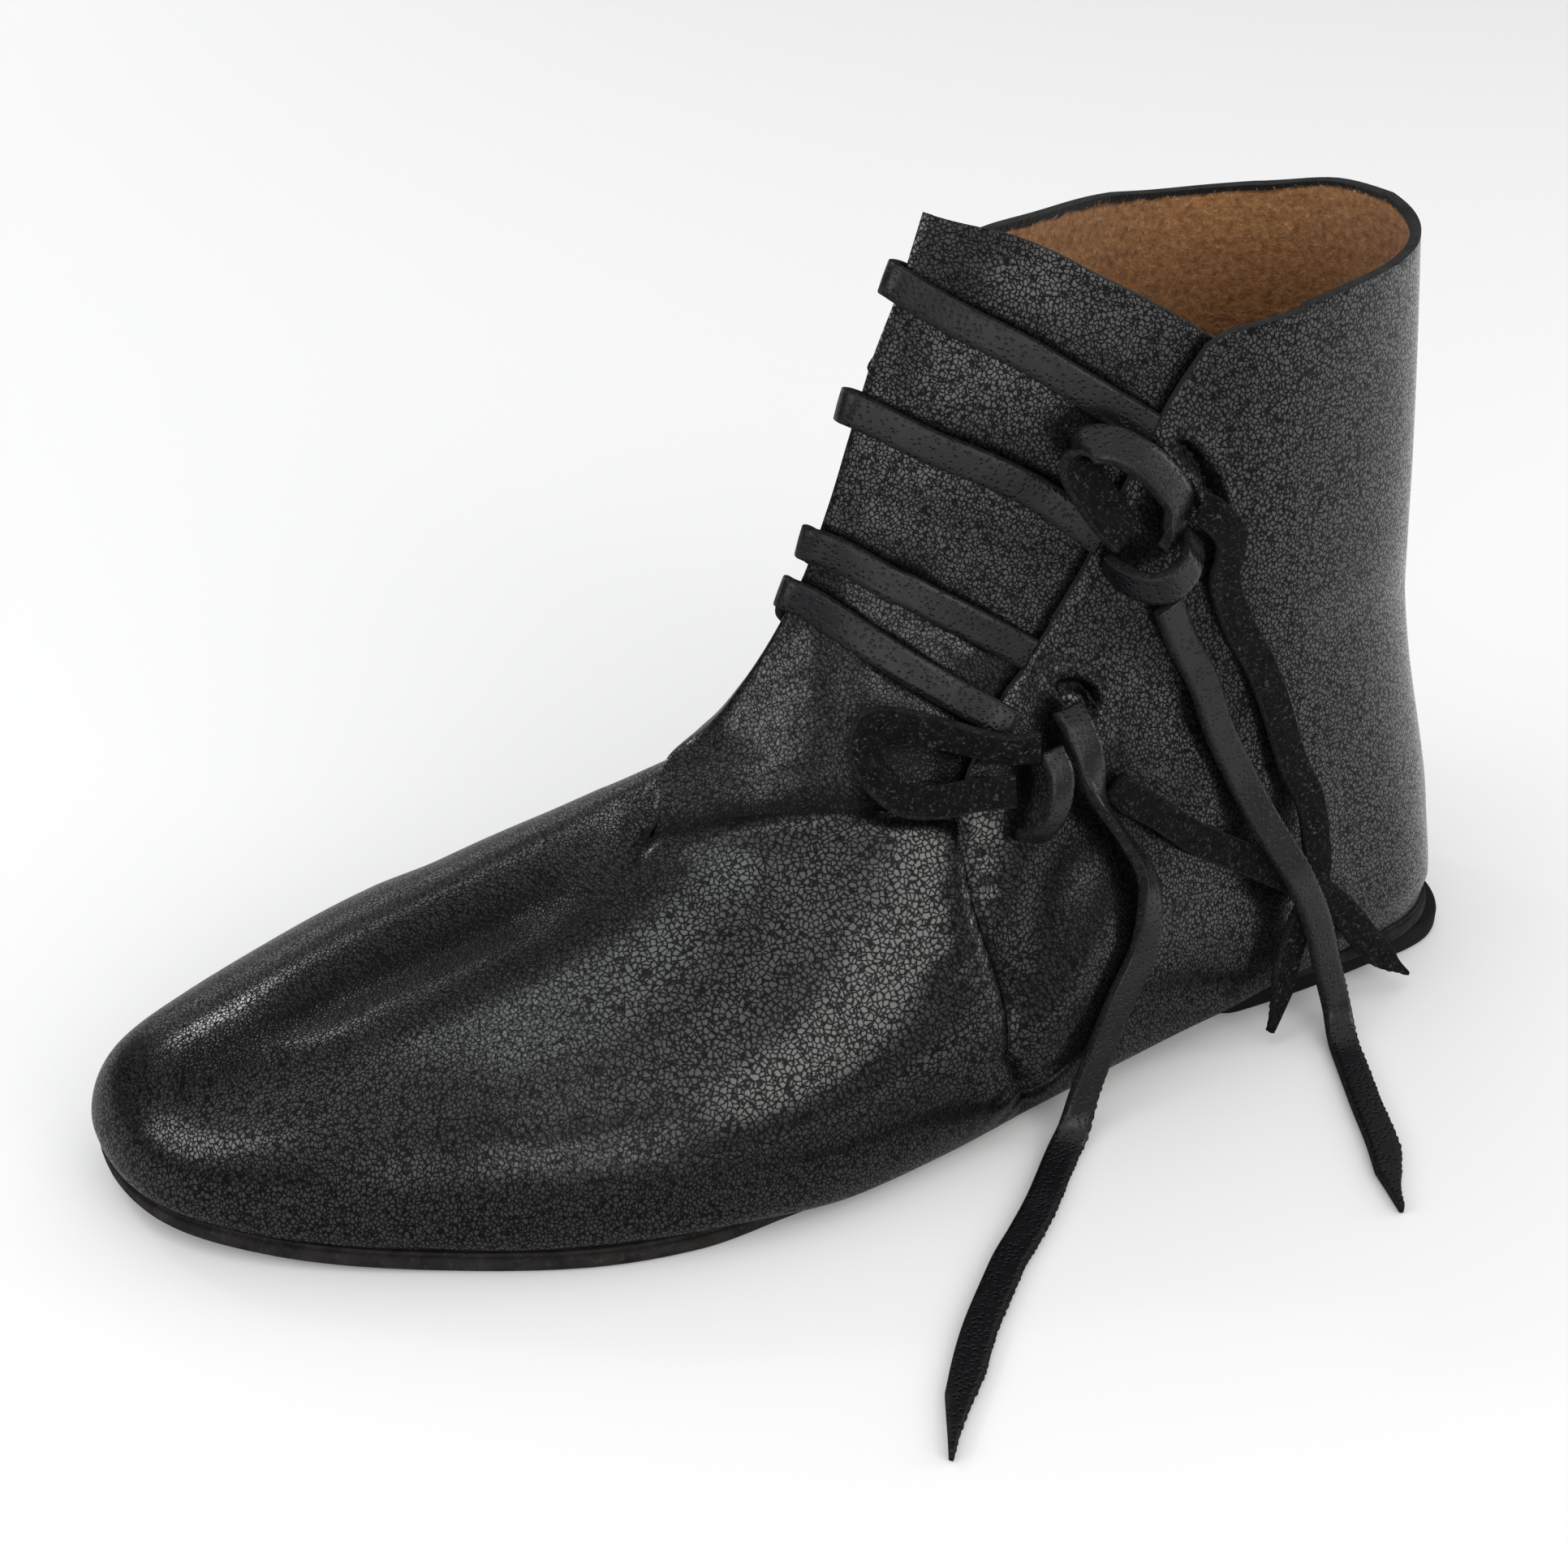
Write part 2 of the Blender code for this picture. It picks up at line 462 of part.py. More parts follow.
def make_heel_lift(collection):
    seat = np.linspace(7.5, HEEL_CLOSES, 400)
    reach = skin(seat, np.zeros(400))[:, 0]
    front = float(np.interp(-HEEL_LIFT_FRONT, -reach, seat))
    share = np.linspace(0.0, 1.0, LIFT_STATIONS)
    stations = front + (HEEL_CLOSES - front) * (1 - (1 - share) ** 1.7)
    height = HEEL_RISE - GAP

    def top(x):
        return np.full_like(x, height)

    def bottom(x):
        return np.zeros_like(x)

    profile = ((0.8, bottom), (0.0, lambda x: bottom(x) + 0.8), (0.0, top))
    ladder("heel_lift", stations, LIFT_MARGIN, profile, collection, "heel_lift")


def make_insole(collection):
    stations = foot_stations(SOLE_STATIONS, TOE_CLOSES + 0.18, HEEL_CLOSES - 0.06)
    margins = {"x": (0.0, SHOE_LENGTH), "margin": (-(WALL + INSOLE_CLEARANCE),) * 2}

    def bottom(x):
        return feather_height(x) + 0.1

    def top(x):
        return bottom(x) + INSOLE_THICKNESS

    ladder("insole", stations, margins, ((0.0, bottom), (0.0, top)), collection, "insole")


def strap(name, edges, collection, thickness=THONG_THICKNESS):
    edges = np.asarray(edges, float)
    faces = grid_faces(len(edges), 2)
    made = add_mesh(name, edges.reshape(-1, 3), faces, collection, "thong")
    thicken(made, thickness, 0.0)
    return made


def make_bars(collection):
    for name, line in BARS.items():
        at = np.linspace(0, len(line["round"]) - 1, BAR_STEPS)
        path = through(np.column_stack([line["row"], line["round"]]), at)
        row, around = path[:, 0], path[:, 1]
        folded = 0.55 + 0.09 * smoothstep(5.5, 8.5, row)
        over_flap = flap_lift(row, around)
        off_flap = smoothstep(folded + 0.012, folded + 0.05, around)
        lift = over_flap * (1 - off_flap) + quarter_sink(row, around) * off_flap
        lift = lift + BAR_CREST * np.exp(-((around - 0.5) / 0.03) ** 2)
        face = outward(row, around)
        middle = skin(row, around) + (lift + GAP + BAR_CLEARANCE + THONG_THICKNESS / 2)[:, None] * face
        along = unit(np.gradient(middle, axis=0))
        side = unit(np.cross(along, face)) * THONG_WIDTH / 2
        strap(name, np.stack([middle - side, middle + side], 1), collection)


def make_tails(collection):
    for name, rows in TAILS.items():
        rows = np.asarray(rows, float)
        rows[:, :3] = on_shoe(rows[:, :3])
        length = np.linalg.norm(np.diff(rows[:, :3], axis=0), axis=1).sum()
        fine = through(rows, np.linspace(0, len(rows) - 1, max(int(length / CORD_STEP), len(rows))))
        middle, lean, turn = fine[:, :3], np.radians(fine[:, 3]), np.radians(fine[:, 4:])
        face = np.column_stack([np.zeros(len(lean)), np.sin(lean), np.cos(lean)])
        along = unit(np.gradient(middle, axis=0))
        flat = unit(np.cross(along, face))
        side = (flat * np.cos(turn) + np.cross(along, flat) * np.sin(turn)) * THONG_WIDTH / 2
        strap(name, np.stack([middle - side, middle + side], 1), collection)


def make_loops(collection):
    for name, rows in LOOPS.items():
        flat = on_shoe(np.asarray(rows, float).reshape(-1, 3)).reshape(-1, 6)
        fine = through(flat, np.linspace(0, len(flat) - 1, 2 * len(flat) - 1))
        strap(name, fine.reshape(-1, 2, 3), collection)


def main():
    clear_scene()
    shoe = bpy.data.collections.new("medieval_shoe")
    bpy.context.scene.collection.children.link(shoe)
    make_upper(shoe)
    make_flap(shoe)
    make_sole(shoe)
    make_heel_lift(shoe)
    make_insole(shoe)
    make_bars(shoe)
    make_tails(shoe)
    make_loops(shoe)


main()
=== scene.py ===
import math
import bmesh
import bpy
import numpy as np
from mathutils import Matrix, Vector


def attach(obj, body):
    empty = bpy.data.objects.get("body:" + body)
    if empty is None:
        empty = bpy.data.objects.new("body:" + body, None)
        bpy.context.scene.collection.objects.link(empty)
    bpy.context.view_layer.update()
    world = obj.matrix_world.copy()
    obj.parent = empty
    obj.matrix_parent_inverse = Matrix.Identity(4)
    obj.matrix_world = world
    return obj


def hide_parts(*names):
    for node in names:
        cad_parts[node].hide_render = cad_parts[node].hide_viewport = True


# Left ankle shoe of a medieval pattern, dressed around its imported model.
# Lengths are millimetres from the back of the heel and turn into metres in the meshes.
# +X runs to the toe, +Y to the laced outer side, +Z up from the floor.

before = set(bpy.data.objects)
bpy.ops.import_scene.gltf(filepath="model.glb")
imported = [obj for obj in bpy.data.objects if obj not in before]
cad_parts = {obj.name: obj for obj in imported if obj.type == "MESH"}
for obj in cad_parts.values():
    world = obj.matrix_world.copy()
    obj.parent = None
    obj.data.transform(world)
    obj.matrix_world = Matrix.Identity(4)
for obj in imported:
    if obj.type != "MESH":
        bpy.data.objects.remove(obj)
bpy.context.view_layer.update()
print("frame loaded:", len(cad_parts), "nodes")

# camera, light and floor

cameraSet = {"place": (0.18914, 0.33927, 0.30110), "target": (0.00794, -0.00143, 0.06000),
             "lens": 55.9, "sensor": 36.0, "clip": (0.01, 50.0)}

softboxes = {  # name: bearing from the toe, height angle, distance, width, depth, watts, tint
    "overhead": (2, 71, 1.20, 0.46, 0.30, 0.78, (0.95, 0.99, 1.0)),
    "farSide": (-73, 38, 1.20, 0.30, 0.14, 0.20, (0.97, 0.98, 1.0)),
    "toeSpot": (-64, 36, 1.10, 0.10, 0.07, 0.62, (0.97, 0.98, 1.0)),
    "toeFront": (0, 26, 1.25, 0.74, 0.44, 2.5, (0.99, 0.99, 1.0)),
    "rightSide": (103, 28, 1.20, 0.62, 0.58, 2.75, (1.0, 0.98, 0.95)),
    "frontLow": (62, 14, 1.50, 1.00, 0.70, 3.6, (1.0, 1.0, 1.0)),
    "nearHigh": (68, 52, 1.20, 0.70, 0.60, 0.8, (0.98, 0.99, 1.0)),
    "heelBack": (160, 14, 1.10, 0.30, 0.50, 1.6, (1.0, 1.0, 1.0)),
    "farLow": (-86, 12, 1.20, 0.60, 0.30, 0.5, (0.97, 0.98, 1.0)),
}

boxCentre = (0.0, 0.0, 0.05)  # what the boxes face
worldSet = {"low": 0.16, "high": 1.0, "horizon": 0.8, "farSide": 0.34, "farEdge": -0.62, "spread": 0.95,
            "seen": 1.0}
# the reflected shade colour is painted shade: the floor's colour near the shoe as glossy rays see it
floorSet = {"half": 3.0, "colour": (0.93, 0.93, 0.93), "reflectedShade": (0.42, 0.42, 0.42), "roughness": 0.7,
            "specular": 0.1, "bright": (-0.16, -0.08), "far": (0.28, 0.60)}


def addObject(name, data):
    thing = bpy.data.objects.new(name, data)
    bpy.context.scene.collection.objects.link(thing)
    return thing


def placeCamera(settings):
    data = bpy.data.cameras.new("photoCamera")
    data.lens, data.sensor_width = settings["lens"], settings["sensor"]
    data.clip_start, data.clip_end = settings["clip"]
    camera = addObject("photoCamera", data)
    camera.location = settings["place"]
    ahead = Vector(settings["target"]) - Vector(settings["place"])
    camera.rotation_euler = ahead.to_track_quat("-Z", "Y").to_euler()
    bpy.context.scene.camera = camera


def hangSoftboxes(boxes):
    # each box stands on a sphere round the shoe and faces its middle
    for name, (bearing, height, far, wide, deep, watts, tint) in boxes.items():
        data = bpy.data.lights.new(name, "AREA")
        data.shape, data.size, data.size_y = "RECTANGLE", wide, deep
        data.energy, data.color = watts, tint
        lamp = addObject(name, data)
        flat, climb = math.radians(bearing), math.radians(height)
        out = Vector((math.cos(climb) * math.cos(flat), math.cos(climb) * math.sin(flat), math.sin(climb)))
        lamp.location = out * far + Vector(boxCentre)
        lamp.rotation_euler = (-out).to_track_quat("-Z", "Y").to_euler()


def paintWorld(settings):
    # pale sky, darker towards the horizon and the far side, that the lens sees as plain white
    world = bpy.data.worlds.new("studio")
    bpy.context.scene.world = world
    world.use_nodes = True
    tree = world.node_tree
    tree.nodes.clear()
    split = put(tree, "ShaderNodeSeparateXYZ", {"Vector": (put(tree, "ShaderNodeTexCoord"), "Generated")})
    path = put(tree, "ShaderNodeLightPath")
    rise = ramp(tree, (split, "Z"), 0.0, settings["horizon"], settings["low"], settings["high"])
    far = ramp(tree, (split, "Y"), settings["farEdge"], 0.0, settings["farSide"], 1.0)
    # what glossy leather mirrors is dimmer
    soft = mixNumber(tree, (path, "Is Glossy Ray"), settings["spread"], mathNode(tree, "MULTIPLY", rise, far))
    level = mixNumber(tree, (path, "Is Camera Ray"), soft, settings["seen"])
    sky = put(tree, "ShaderNodeBackground", {"Strength": level})
    put(tree, "ShaderNodeOutputWorld", {"Surface": (sky, "Background")})


def layFloor(settings):
    half = settings["half"]
    mesh = bpy.data.meshes.new("floor")
    mesh.from_pydata([(-half, -half, 0), (half, -half, 0), (half, half, 0), (-half, half, 0)], [], [(0, 1, 2, 3)])
    floor = addObject("floor", mesh)
    paint, tree, shader = startMaterial("paleFloor")
    # painted shade on the floor where glossy leather mirrors it: dim close by, bright behind the heel and far in
    # front
    split = put(tree, "ShaderNodeSeparateXYZ", {"Vector": (put(tree, "ShaderNodeTexCoord"), "Object")})
    dim = ramp(tree, (split, "X"), *settings["bright"])
    near = ramp(tree, (split, "Y"), *settings["far"], 1.0, 0.0)
    close = mathNode(tree, "MULTIPLY", near, dim)
    shadeInMirror = mathNode(tree, "MULTIPLY", (put(tree, "ShaderNodeLightPath"), "Is Glossy Ray"), close)
    feed(tree, shader, {"Base Color": mixColour(tree, shadeInMirror, settings["colour"], settings["reflectedShade"]),
                        "Roughness": settings["roughness"], "Specular IOR Level": settings["specular"]})
    mesh.materials.append(paint)


# node helpers

mixColours, mixedColour = (6, 7), 2  # a Mix node's sockets for colours


def feed(tree, node, inputs):
    # a (node, output) pair is wired to its input, anything else is set on it
    for key, value in inputs.items():
        if isinstance(value, tuple) and isinstance(value[0], bpy.types.Node):
            tree.links.new(value[0].outputs[value[1]], node.inputs[key])
        else:
            node.inputs[key].default_value = value
    return node


def put(tree, kind, inputs=None, **settings):
    node = tree.nodes.new(kind)
    for key, value in settings.items():
        setattr(node, key, value)
    return feed(tree, node, inputs or {})


def mathNode(tree, operation, *values, clamp=False):
    return put(tree, "ShaderNodeMath", dict(enumerate(values)), operation=operation, use_clamp=clamp), "Value"


def ramp(tree, value, low, high, start=0.0, end=1.0, soft=False):
    # low to high becomes start to end, and no further
    limits = {"From Min": low, "From Max": high, "To Min": start, "To Max": end}
    return put(tree, "ShaderNodeMapRange", {"Value": value, **limits},
               interpolation_type="SMOOTHSTEP" if soft else "LINEAR"), "Result"


def mixNumber(tree, factor, first, second):
    return put(tree, "ShaderNodeMix", {"Factor": factor, "A": first, "B": second}), "Result"


def mixColour(tree, factor, *colours):
    inputs = {key: value if isinstance(value[0], bpy.types.Node) else (*value, 1.0)
              for key, value in zip(mixColours, colours)}
    return put(tree, "ShaderNodeMix", {0: factor, **inputs}, data_type="RGBA"), mixedColour


def noise(tree, place, scale, detail, roughness=0.5, distortion=0.0):
    return put(tree, "ShaderNodeTexNoise", {"Vector": place, "Scale": scale, "Detail": detail,
                                            "Roughness": roughness, "Distortion": distortion})


def bump(tree, height, look):
    inputs = {"Height": height, "Strength": look["bump"], "Distance": look["depth"]}
    return put(tree, "ShaderNodeBump", inputs), "Normal"


def startMaterial(name):
    paint = bpy.data.materials.new(name)
    paint.use_nodes = True
    return paint, paint.node_tree, paint.node_tree.nodes["Principled BSDF"]


def startGroup(name, inputs, outputs):
    # reads a vector and the numbers given with their defaults, gives plain numbers
    group = bpy.data.node_groups.new(name, "ShaderNodeTree")
    group.interface.new_socket(name="Vector", in_out="INPUT", socket_type="NodeSocketVector")
    for key, default in inputs.items():
        socket = group.interface.new_socket(name=key, in_out="INPUT", socket_type="NodeSocketFloat")
        socket.default_value = default
    for key in outputs:
        group.interface.new_socket(name=key, in_out="OUTPUT", socket_type="NodeSocketFloat")
    return group, put(group, "NodeGroupInput"), put(group, "NodeGroupOutput")


def useGroup(tree, group, place, values):
    return put(tree, "ShaderNodeGroup", {"Vector": place, **values}, node_tree=group)


# shared finishes

grainSet = {"driftScale": 0.55, "driftDetail": 2.0, "domeSpan": (0.0, 0.42), "domePower": 0.65,
            "topSpan": (0.04, 0.24), "fineScale": 2.6, "fineNoise": (1.5, 0.5), "domeHeight": 0.85,
            "fineHeight": 0.22}
napSet = {"fibreNoise": (4.0, 0.75, 0.6), "patchNoise": (5.0, 0.62), "speckSpan": (0.56, 0.74), "fibreHeight": 0.8,
          "brushSpan": (0.32, 0.68), "rimRagged": -0.5, "rimSpan": (0.25, 0.6), "roughness": 0.95,
          "specular": 0.12, "sheenRough": 0.5}
scuffSet = {"noise": (4.0, 0.6), "span": (0.48, 0.72)}


def buildPebbleGrain(own):
    # cracked cells of the hide: distance to the nearest cell edge, wavered, with a finer grain on top
    group, goesIn, goesOut = startGroup("pebbleGrain", {"Cells": 900.0, "Waver": 0.0006, "Crack": 0.22},
                                        ("Height", "Cracks", "Tops"))
    place, count = (goesIn, "Vector"), (goesIn, "Cells")
    drift = noise(group, place, mathNode(group, "MULTIPLY", count, own["driftScale"]), own["driftDetail"])
    centred = put(group, "ShaderNodeVectorMath", {0: (drift, "Color"), 1: (0.5, 0.5, 0.5)}, operation="SUBTRACT")
    sized = put(group, "ShaderNodeVectorMath", {0: (centred, "Vector"), "Scale": (goesIn, "Waver")},
                operation="SCALE")
    moved = put(group, "ShaderNodeVectorMath", {0: place, 1: (sized, "Vector")}, operation="ADD")
    cells = put(group, "ShaderNodeTexVoronoi", {"Vector": (moved, "Vector"), "Scale": count},
                feature="DISTANCE_TO_EDGE")
    edge = (cells, "Distance")
    dome = mathNode(group, "POWER", ramp(group, edge, *own["domeSpan"]), own["domePower"])
    fine = noise(group, place, mathNode(group, "MULTIPLY", count, own["fineScale"]), *own["fineNoise"])
    grained = mathNode(group, "MULTIPLY", (fine, "Fac"), own["fineHeight"])
    feed(group, goesOut, {"Height": mathNode(group, "MULTIPLY_ADD", dome, own["domeHeight"], grained),
                          "Cracks": ramp(group, edge, 0.0, (goesIn, "Crack"), 1.0, 0.0, soft=True),
                          "Tops": ramp(group, edge, *own["topSpan"], soft=True)})
    return group


def buildNap(own):
    # fuzzy flesh side: short fibres from a distorted fine noise, and broad brushed patches
    group, goesIn, goesOut = startGroup("suedeNap", {"Fibres": 2600.0, "Patches": 90.0},
                                        ("Height", "Brushed", "Specks"))
    place = (goesIn, "Vector")
    fibre = noise(group, place, (goesIn, "Fibres"), *own["fibreNoise"]), "Fac"
    patch = noise(group, place, (goesIn, "Patches"), *own["patchNoise"]), "Fac"
    feed(group, goesOut, {"Height": mathNode(group, "MULTIPLY_ADD", fibre, own["fibreHeight"], patch),
                          "Brushed": patch, "Specks": ramp(group, fibre, *own["speckSpan"])})
    return group


def buildScuffs(own):
    # faint rubbed and dusty places: the high parts of a broad noise
    group, goesIn, goesOut = startGroup("rubbedPlaces", {"Size": 40.0}, ("Rubbed",))
    broad = noise(group, (goesIn, "Vector"), (goesIn, "Size"), *own["noise"]), "Fac"
    feed(group, goesOut, {"Rubbed": ramp(group, broad, *own["span"], soft=True)})
    return group


pebbleGrain = buildPebbleGrain(grainSet)
suedeNap = buildNap(napSet)
rubbedPlaces = buildScuffs(scuffSet)


def grainLeather(name, look):
    # black hide: two sizes of cell mixed by the piece's own "coarse" value; cracks duller and darkened with painted
    # shade, cell tops lightened with a painted highlight
    paint, tree, shader = startMaterial(name)
    place = put(tree, "ShaderNodeTexCoord"), "Object"
    turned = put(tree, "ShaderNodeMapping", {"Vector": place, "Rotation": look["turn"],
                                             "Scale": look["stretch"]}), "Vector"
    small = useGroup(tree, pebbleGrain, turned, {"Cells": look["smallCells"], "Waver": look["waver"],
                                                 "Crack": look["smallCrack"]})
    large = useGroup(tree, pebbleGrain, place, {"Cells": look["largeCells"], "Crack": look["largeCrack"],
                                                "Waver": look["waver"] * look["largeWaver"]})
    rubbed = useGroup(tree, rubbedPlaces, turned, {"Size": look["patch"]}), "Rubbed"
    coarse = put(tree, "ShaderNodeAttribute", attribute_name="coarse"), "Fac"
    shade = put(tree, "ShaderNodeAttribute", attribute_name="shade"), "Fac"
    height, cracks, tops = (mixNumber(tree, coarse, (small, key), (large, key))
                            for key in ("Height", "Cracks", "Tops"))
    plain = mixColour(tree, rubbed, look["colour"], look["rubbedColour"])
    # painted highlight: the tops of the cells get a lighter colour
    face = mixColour(tree, tops, plain, look["topHighlightColour"])
    # painted shade: the cracks and the piece's "shade" value pull the colour down to the crack shade colour
    dark = mathNode(tree, "MULTIPLY_ADD", cracks, look["crackShade"], shade, clamp=True)
    dull = mathNode(tree, "MULTIPLY_ADD", cracks, look["crackDull"], look["roughness"])
    # polish sits on the tops of the cells and leaves their cracks and the painted shade bare
    polish = mathNode(tree, "MULTIPLY_ADD", tops, look["polish"], look["polishLow"])
    bare = mathNode(tree, "SUBTRACT", 1.0, dark, clamp=True)
    feed(tree, shader, {"Base Color": mixColour(tree, dark, face, look["crackShadeColour"]),
                        "Roughness": mathNode(tree, "MULTIPLY_ADD", rubbed, look["rubbedDull"], dull),
                        "Coat Weight": mathNode(tree, "MULTIPLY", polish, bare), "Normal": bump(tree, height, look),
                        "Coat Roughness": look["polishRough"], "Coat IOR": look["polishIndex"],
                        "Specular IOR Level": look["specular"]})
    return paint


def fleshLeather(name, values, rimColour=None):
    # suede: brushed patches between two colours, light specks on the fibre ends
    look = dict(zip(fleshColumns, values))
    paint, tree, shader = startMaterial(name)
    nap = useGroup(tree, suedeNap, (put(tree, "ShaderNodeTexCoord"), "Object"),
                   {"Fibres": look["fibres"], "Patches": look["patches"]})
    face = mixColour(tree, ramp(tree, (nap, "Brushed"), *napSet["brushSpan"]), look["dark"], look["light"])
    tipped = mathNode(tree, "MULTIPLY", (nap, "Specks"), look["speckAmount"])
    final = mixColour(tree, tipped, face, look["speck"])
    if rimColour:  # black dye that ran over the edge
        rim = put(tree, "ShaderNodeAttribute", attribute_name="rim"), "Fac"
        ragged = mathNode(tree, "MULTIPLY_ADD", (nap, "Specks"), napSet["rimRagged"], rim)
        final = mixColour(tree, ramp(tree, ragged, *napSet["rimSpan"]), final, rimColour)
    feed(tree, shader, {"Base Color": final, "Normal": bump(tree, (nap, "Height"), look),
                        "Roughness": napSet["roughness"], "Specular IOR Level": napSet["specular"],
                        "Sheen Weight": look["sheen"], "Sheen Roughness": napSet["sheenRough"]})
    return paint


def thongLeather(name, look):
    # thong's grain side: satin face with pores in loose rows, rubbed places lighter
    paint, tree, shader = startMaterial(name)
    place = put(tree, "ShaderNodeTexCoord"), "Object"
    pores = put(tree, "ShaderNodeTexVoronoi", {"Vector": place, "Scale": look["pores"], "Randomness": look["loose"]})
    pit = ramp(tree, (pores, "Distance"), *look["poreSpan"], soft=True)
    grain = noise(tree, place, look["pores"] * look["fineScale"], look["fineDetail"]), "Fac"
    rubbed = useGroup(tree, rubbedPlaces, place, {"Size": look["patch"]}), "Rubbed"
    face = mixColour(tree, rubbed, look["colour"], look["rubbedColour"])
    high = mathNode(tree, "MULTIPLY_ADD", grain, look["fineHeight"], pit)
    feed(tree, shader, {"Base Color": mixColour(tree, mathNode(tree, "SUBTRACT", 1.0, pit), face, look["poreColour"]),
                        "Roughness": mathNode(tree, "MULTIPLY_ADD", grain, look["roughSpan"], look["roughFrom"]),
                        "Normal": bump(tree, high, look), "Specular IOR Level": look["specular"]})
    return paint


# the top highlight colour is a painted highlight on the cell tops; the crack shade colour and crack shade paint shade
# into the cracks
upperLook = {"turn": (0.0, 0.35, 0.2), "stretch": (1.0, 1.0, 0.72), "smallCells": 1350.0, "smallCrack": 0.2,
             "largeCells": 980.0, "largeCrack": 0.17, "largeWaver": 1.4, "waver": 0.0009, "patch": 34.0,
             "colour": (0.0040, 0.0040, 0.0043), "rubbedColour": (0.0065, 0.0065, 0.0069),
             "topHighlightColour": (0.0080, 0.0080, 0.0086), "crackShadeColour": (0.0006, 0.0006, 0.0007), "crackShade": 0.95,
             "roughness": 0.17, "crackDull": 0.12, "rubbedDull": 0.04, "bump": 1.0, "depth": 0.00005,
             "specular": 0.12, "polish": 0.66, "polishLow": 0.06, "polishRough": 0.2, "polishIndex": 1.85}
flapLook = {**upperLook, "turn": (0.3, 0.0, 0.5), "stretch": (1.0, 1.0, 0.85), "waver": 0.0010, "patch": 45.0,
            "colour": (0.0042, 0.0039, 0.0043), "rubbedColour": (0.0070, 0.0061, 0.0072),
            "topHighlightColour": (0.0092, 0.0084, 0.0095), "roughness": 0.19, "depth": 0.00006, "polishRough": 0.22}
thongLook = {"pores": 960.0, "loose": 0.75, "poreSpan": (0.20, 0.40), "fineScale": 1.7, "fineDetail": 3.0,
             "fineHeight": 0.5, "patch": 150.0, "colour": (0.0058, 0.0048, 0.0064),
             "rubbedColour": (0.0098, 0.0084, 0.0106), "poreColour": (0.0012, 0.0011, 0.0012), "roughFrom": 0.19,
             "roughSpan": 0.2, "bump": 0.9, "depth": 0.00014, "specular": 0.35}
fleshColumns = ("fibres", "patches", "dark", "light", "speck", "speckAmount", "bump", "depth", "sheen")
fleshLooks = {
    "tanSuedeInside": (1000.0, 620.0, (0.215, 0.088, 0.030), (0.455, 0.230, 0.095), (0.66, 0.40, 0.20),
                       0.85, 1.0, 0.0009, 0.12),
    "blackRawEdge": (2400.0, 420.0, (0.007, 0.0068, 0.0068), (0.022, 0.021, 0.021), (0.10, 0.095, 0.09),
                     0.35, 0.8, 0.0004, 0.05),
    "thongFlesh": (1350.0, 500.0, (0.0022, 0.0020, 0.0022), (0.0070, 0.0064, 0.0070), (0.115, 0.107, 0.110),
                   0.9, 1.0, 0.0006, 0.0),
    "thongRawEdge": (2200.0, 600.0, (0.0055, 0.0050, 0.0055), (0.018, 0.0165, 0.0172), (0.13, 0.12, 0.12),
                     0.6, 0.9, 0.0004, 0.0),
    "matteSoleLeather": (900.0, 220.0, (0.0085, 0.0078, 0.0075), (0.026, 0.024, 0.0232), (0.075, 0.070, 0.066),
                         0.5, 0.6, 0.0004, 0.0),
    "heelRubber": (1400.0, 60.0, (0.0060, 0.0060, 0.0060), (0.0110, 0.0110, 0.0108), (0.024, 0.024, 0.023),
                   0.25, 0.3, 0.0002, 0.0),
    "insoleLeather": (1500.0, 70.0, (0.17, 0.075, 0.028), (0.27, 0.13, 0.052), (0.36, 0.20, 0.09),
                      0.3, 0.35, 0.0003, 0.05),
}
rimColours = {"tanSuedeInside": (0.006, 0.0055, 0.005)}

upperLeather = grainLeather("blackGrainLeather", upperLook)
flapLeather = grainLeather("flapGrainLeather", flapLook)
thongGrain = thongLeather("thongGrain", thongLook)
tanSuede, rawEdge, thongFlesh, thongEdge, soleLeather, liftRubber, insoleLeather = (
    fleshLeather(name, values, rimColours.get(name)) for name, values in fleshLooks.items())
print("finishes ready:", len(bpy.data.materials), "materials")

placeCamera(cameraSet)
hangSoftboxes(softboxes)
paintWorld(worldSet)
layFloor(floorSet)
bpy.context.scene.view_settings.view_transform = "Standard"
print("camera, light and floor placed")

# the last, as the part's source has it

last = {"length": 285.0, "width": 102.0, "height": 163.0, "wall": 2.0, "flap": 1.8, "thongWidth": 6.2,
        "thong": 1.8, "sole": 4.0, "heelRise": 5.3, "toeSpring": 5.0, "gap": 0.3, "foldGap": 0.5,
        "foldCrest": 1.0, "middleX": 146.06, "middleY": 4.03, "springFrom": 0.79, "springRun": 0.21,
        "heelFrom": 0.49, "heelRun": 0.228}
metre = 0.001  # metres in a millimetre

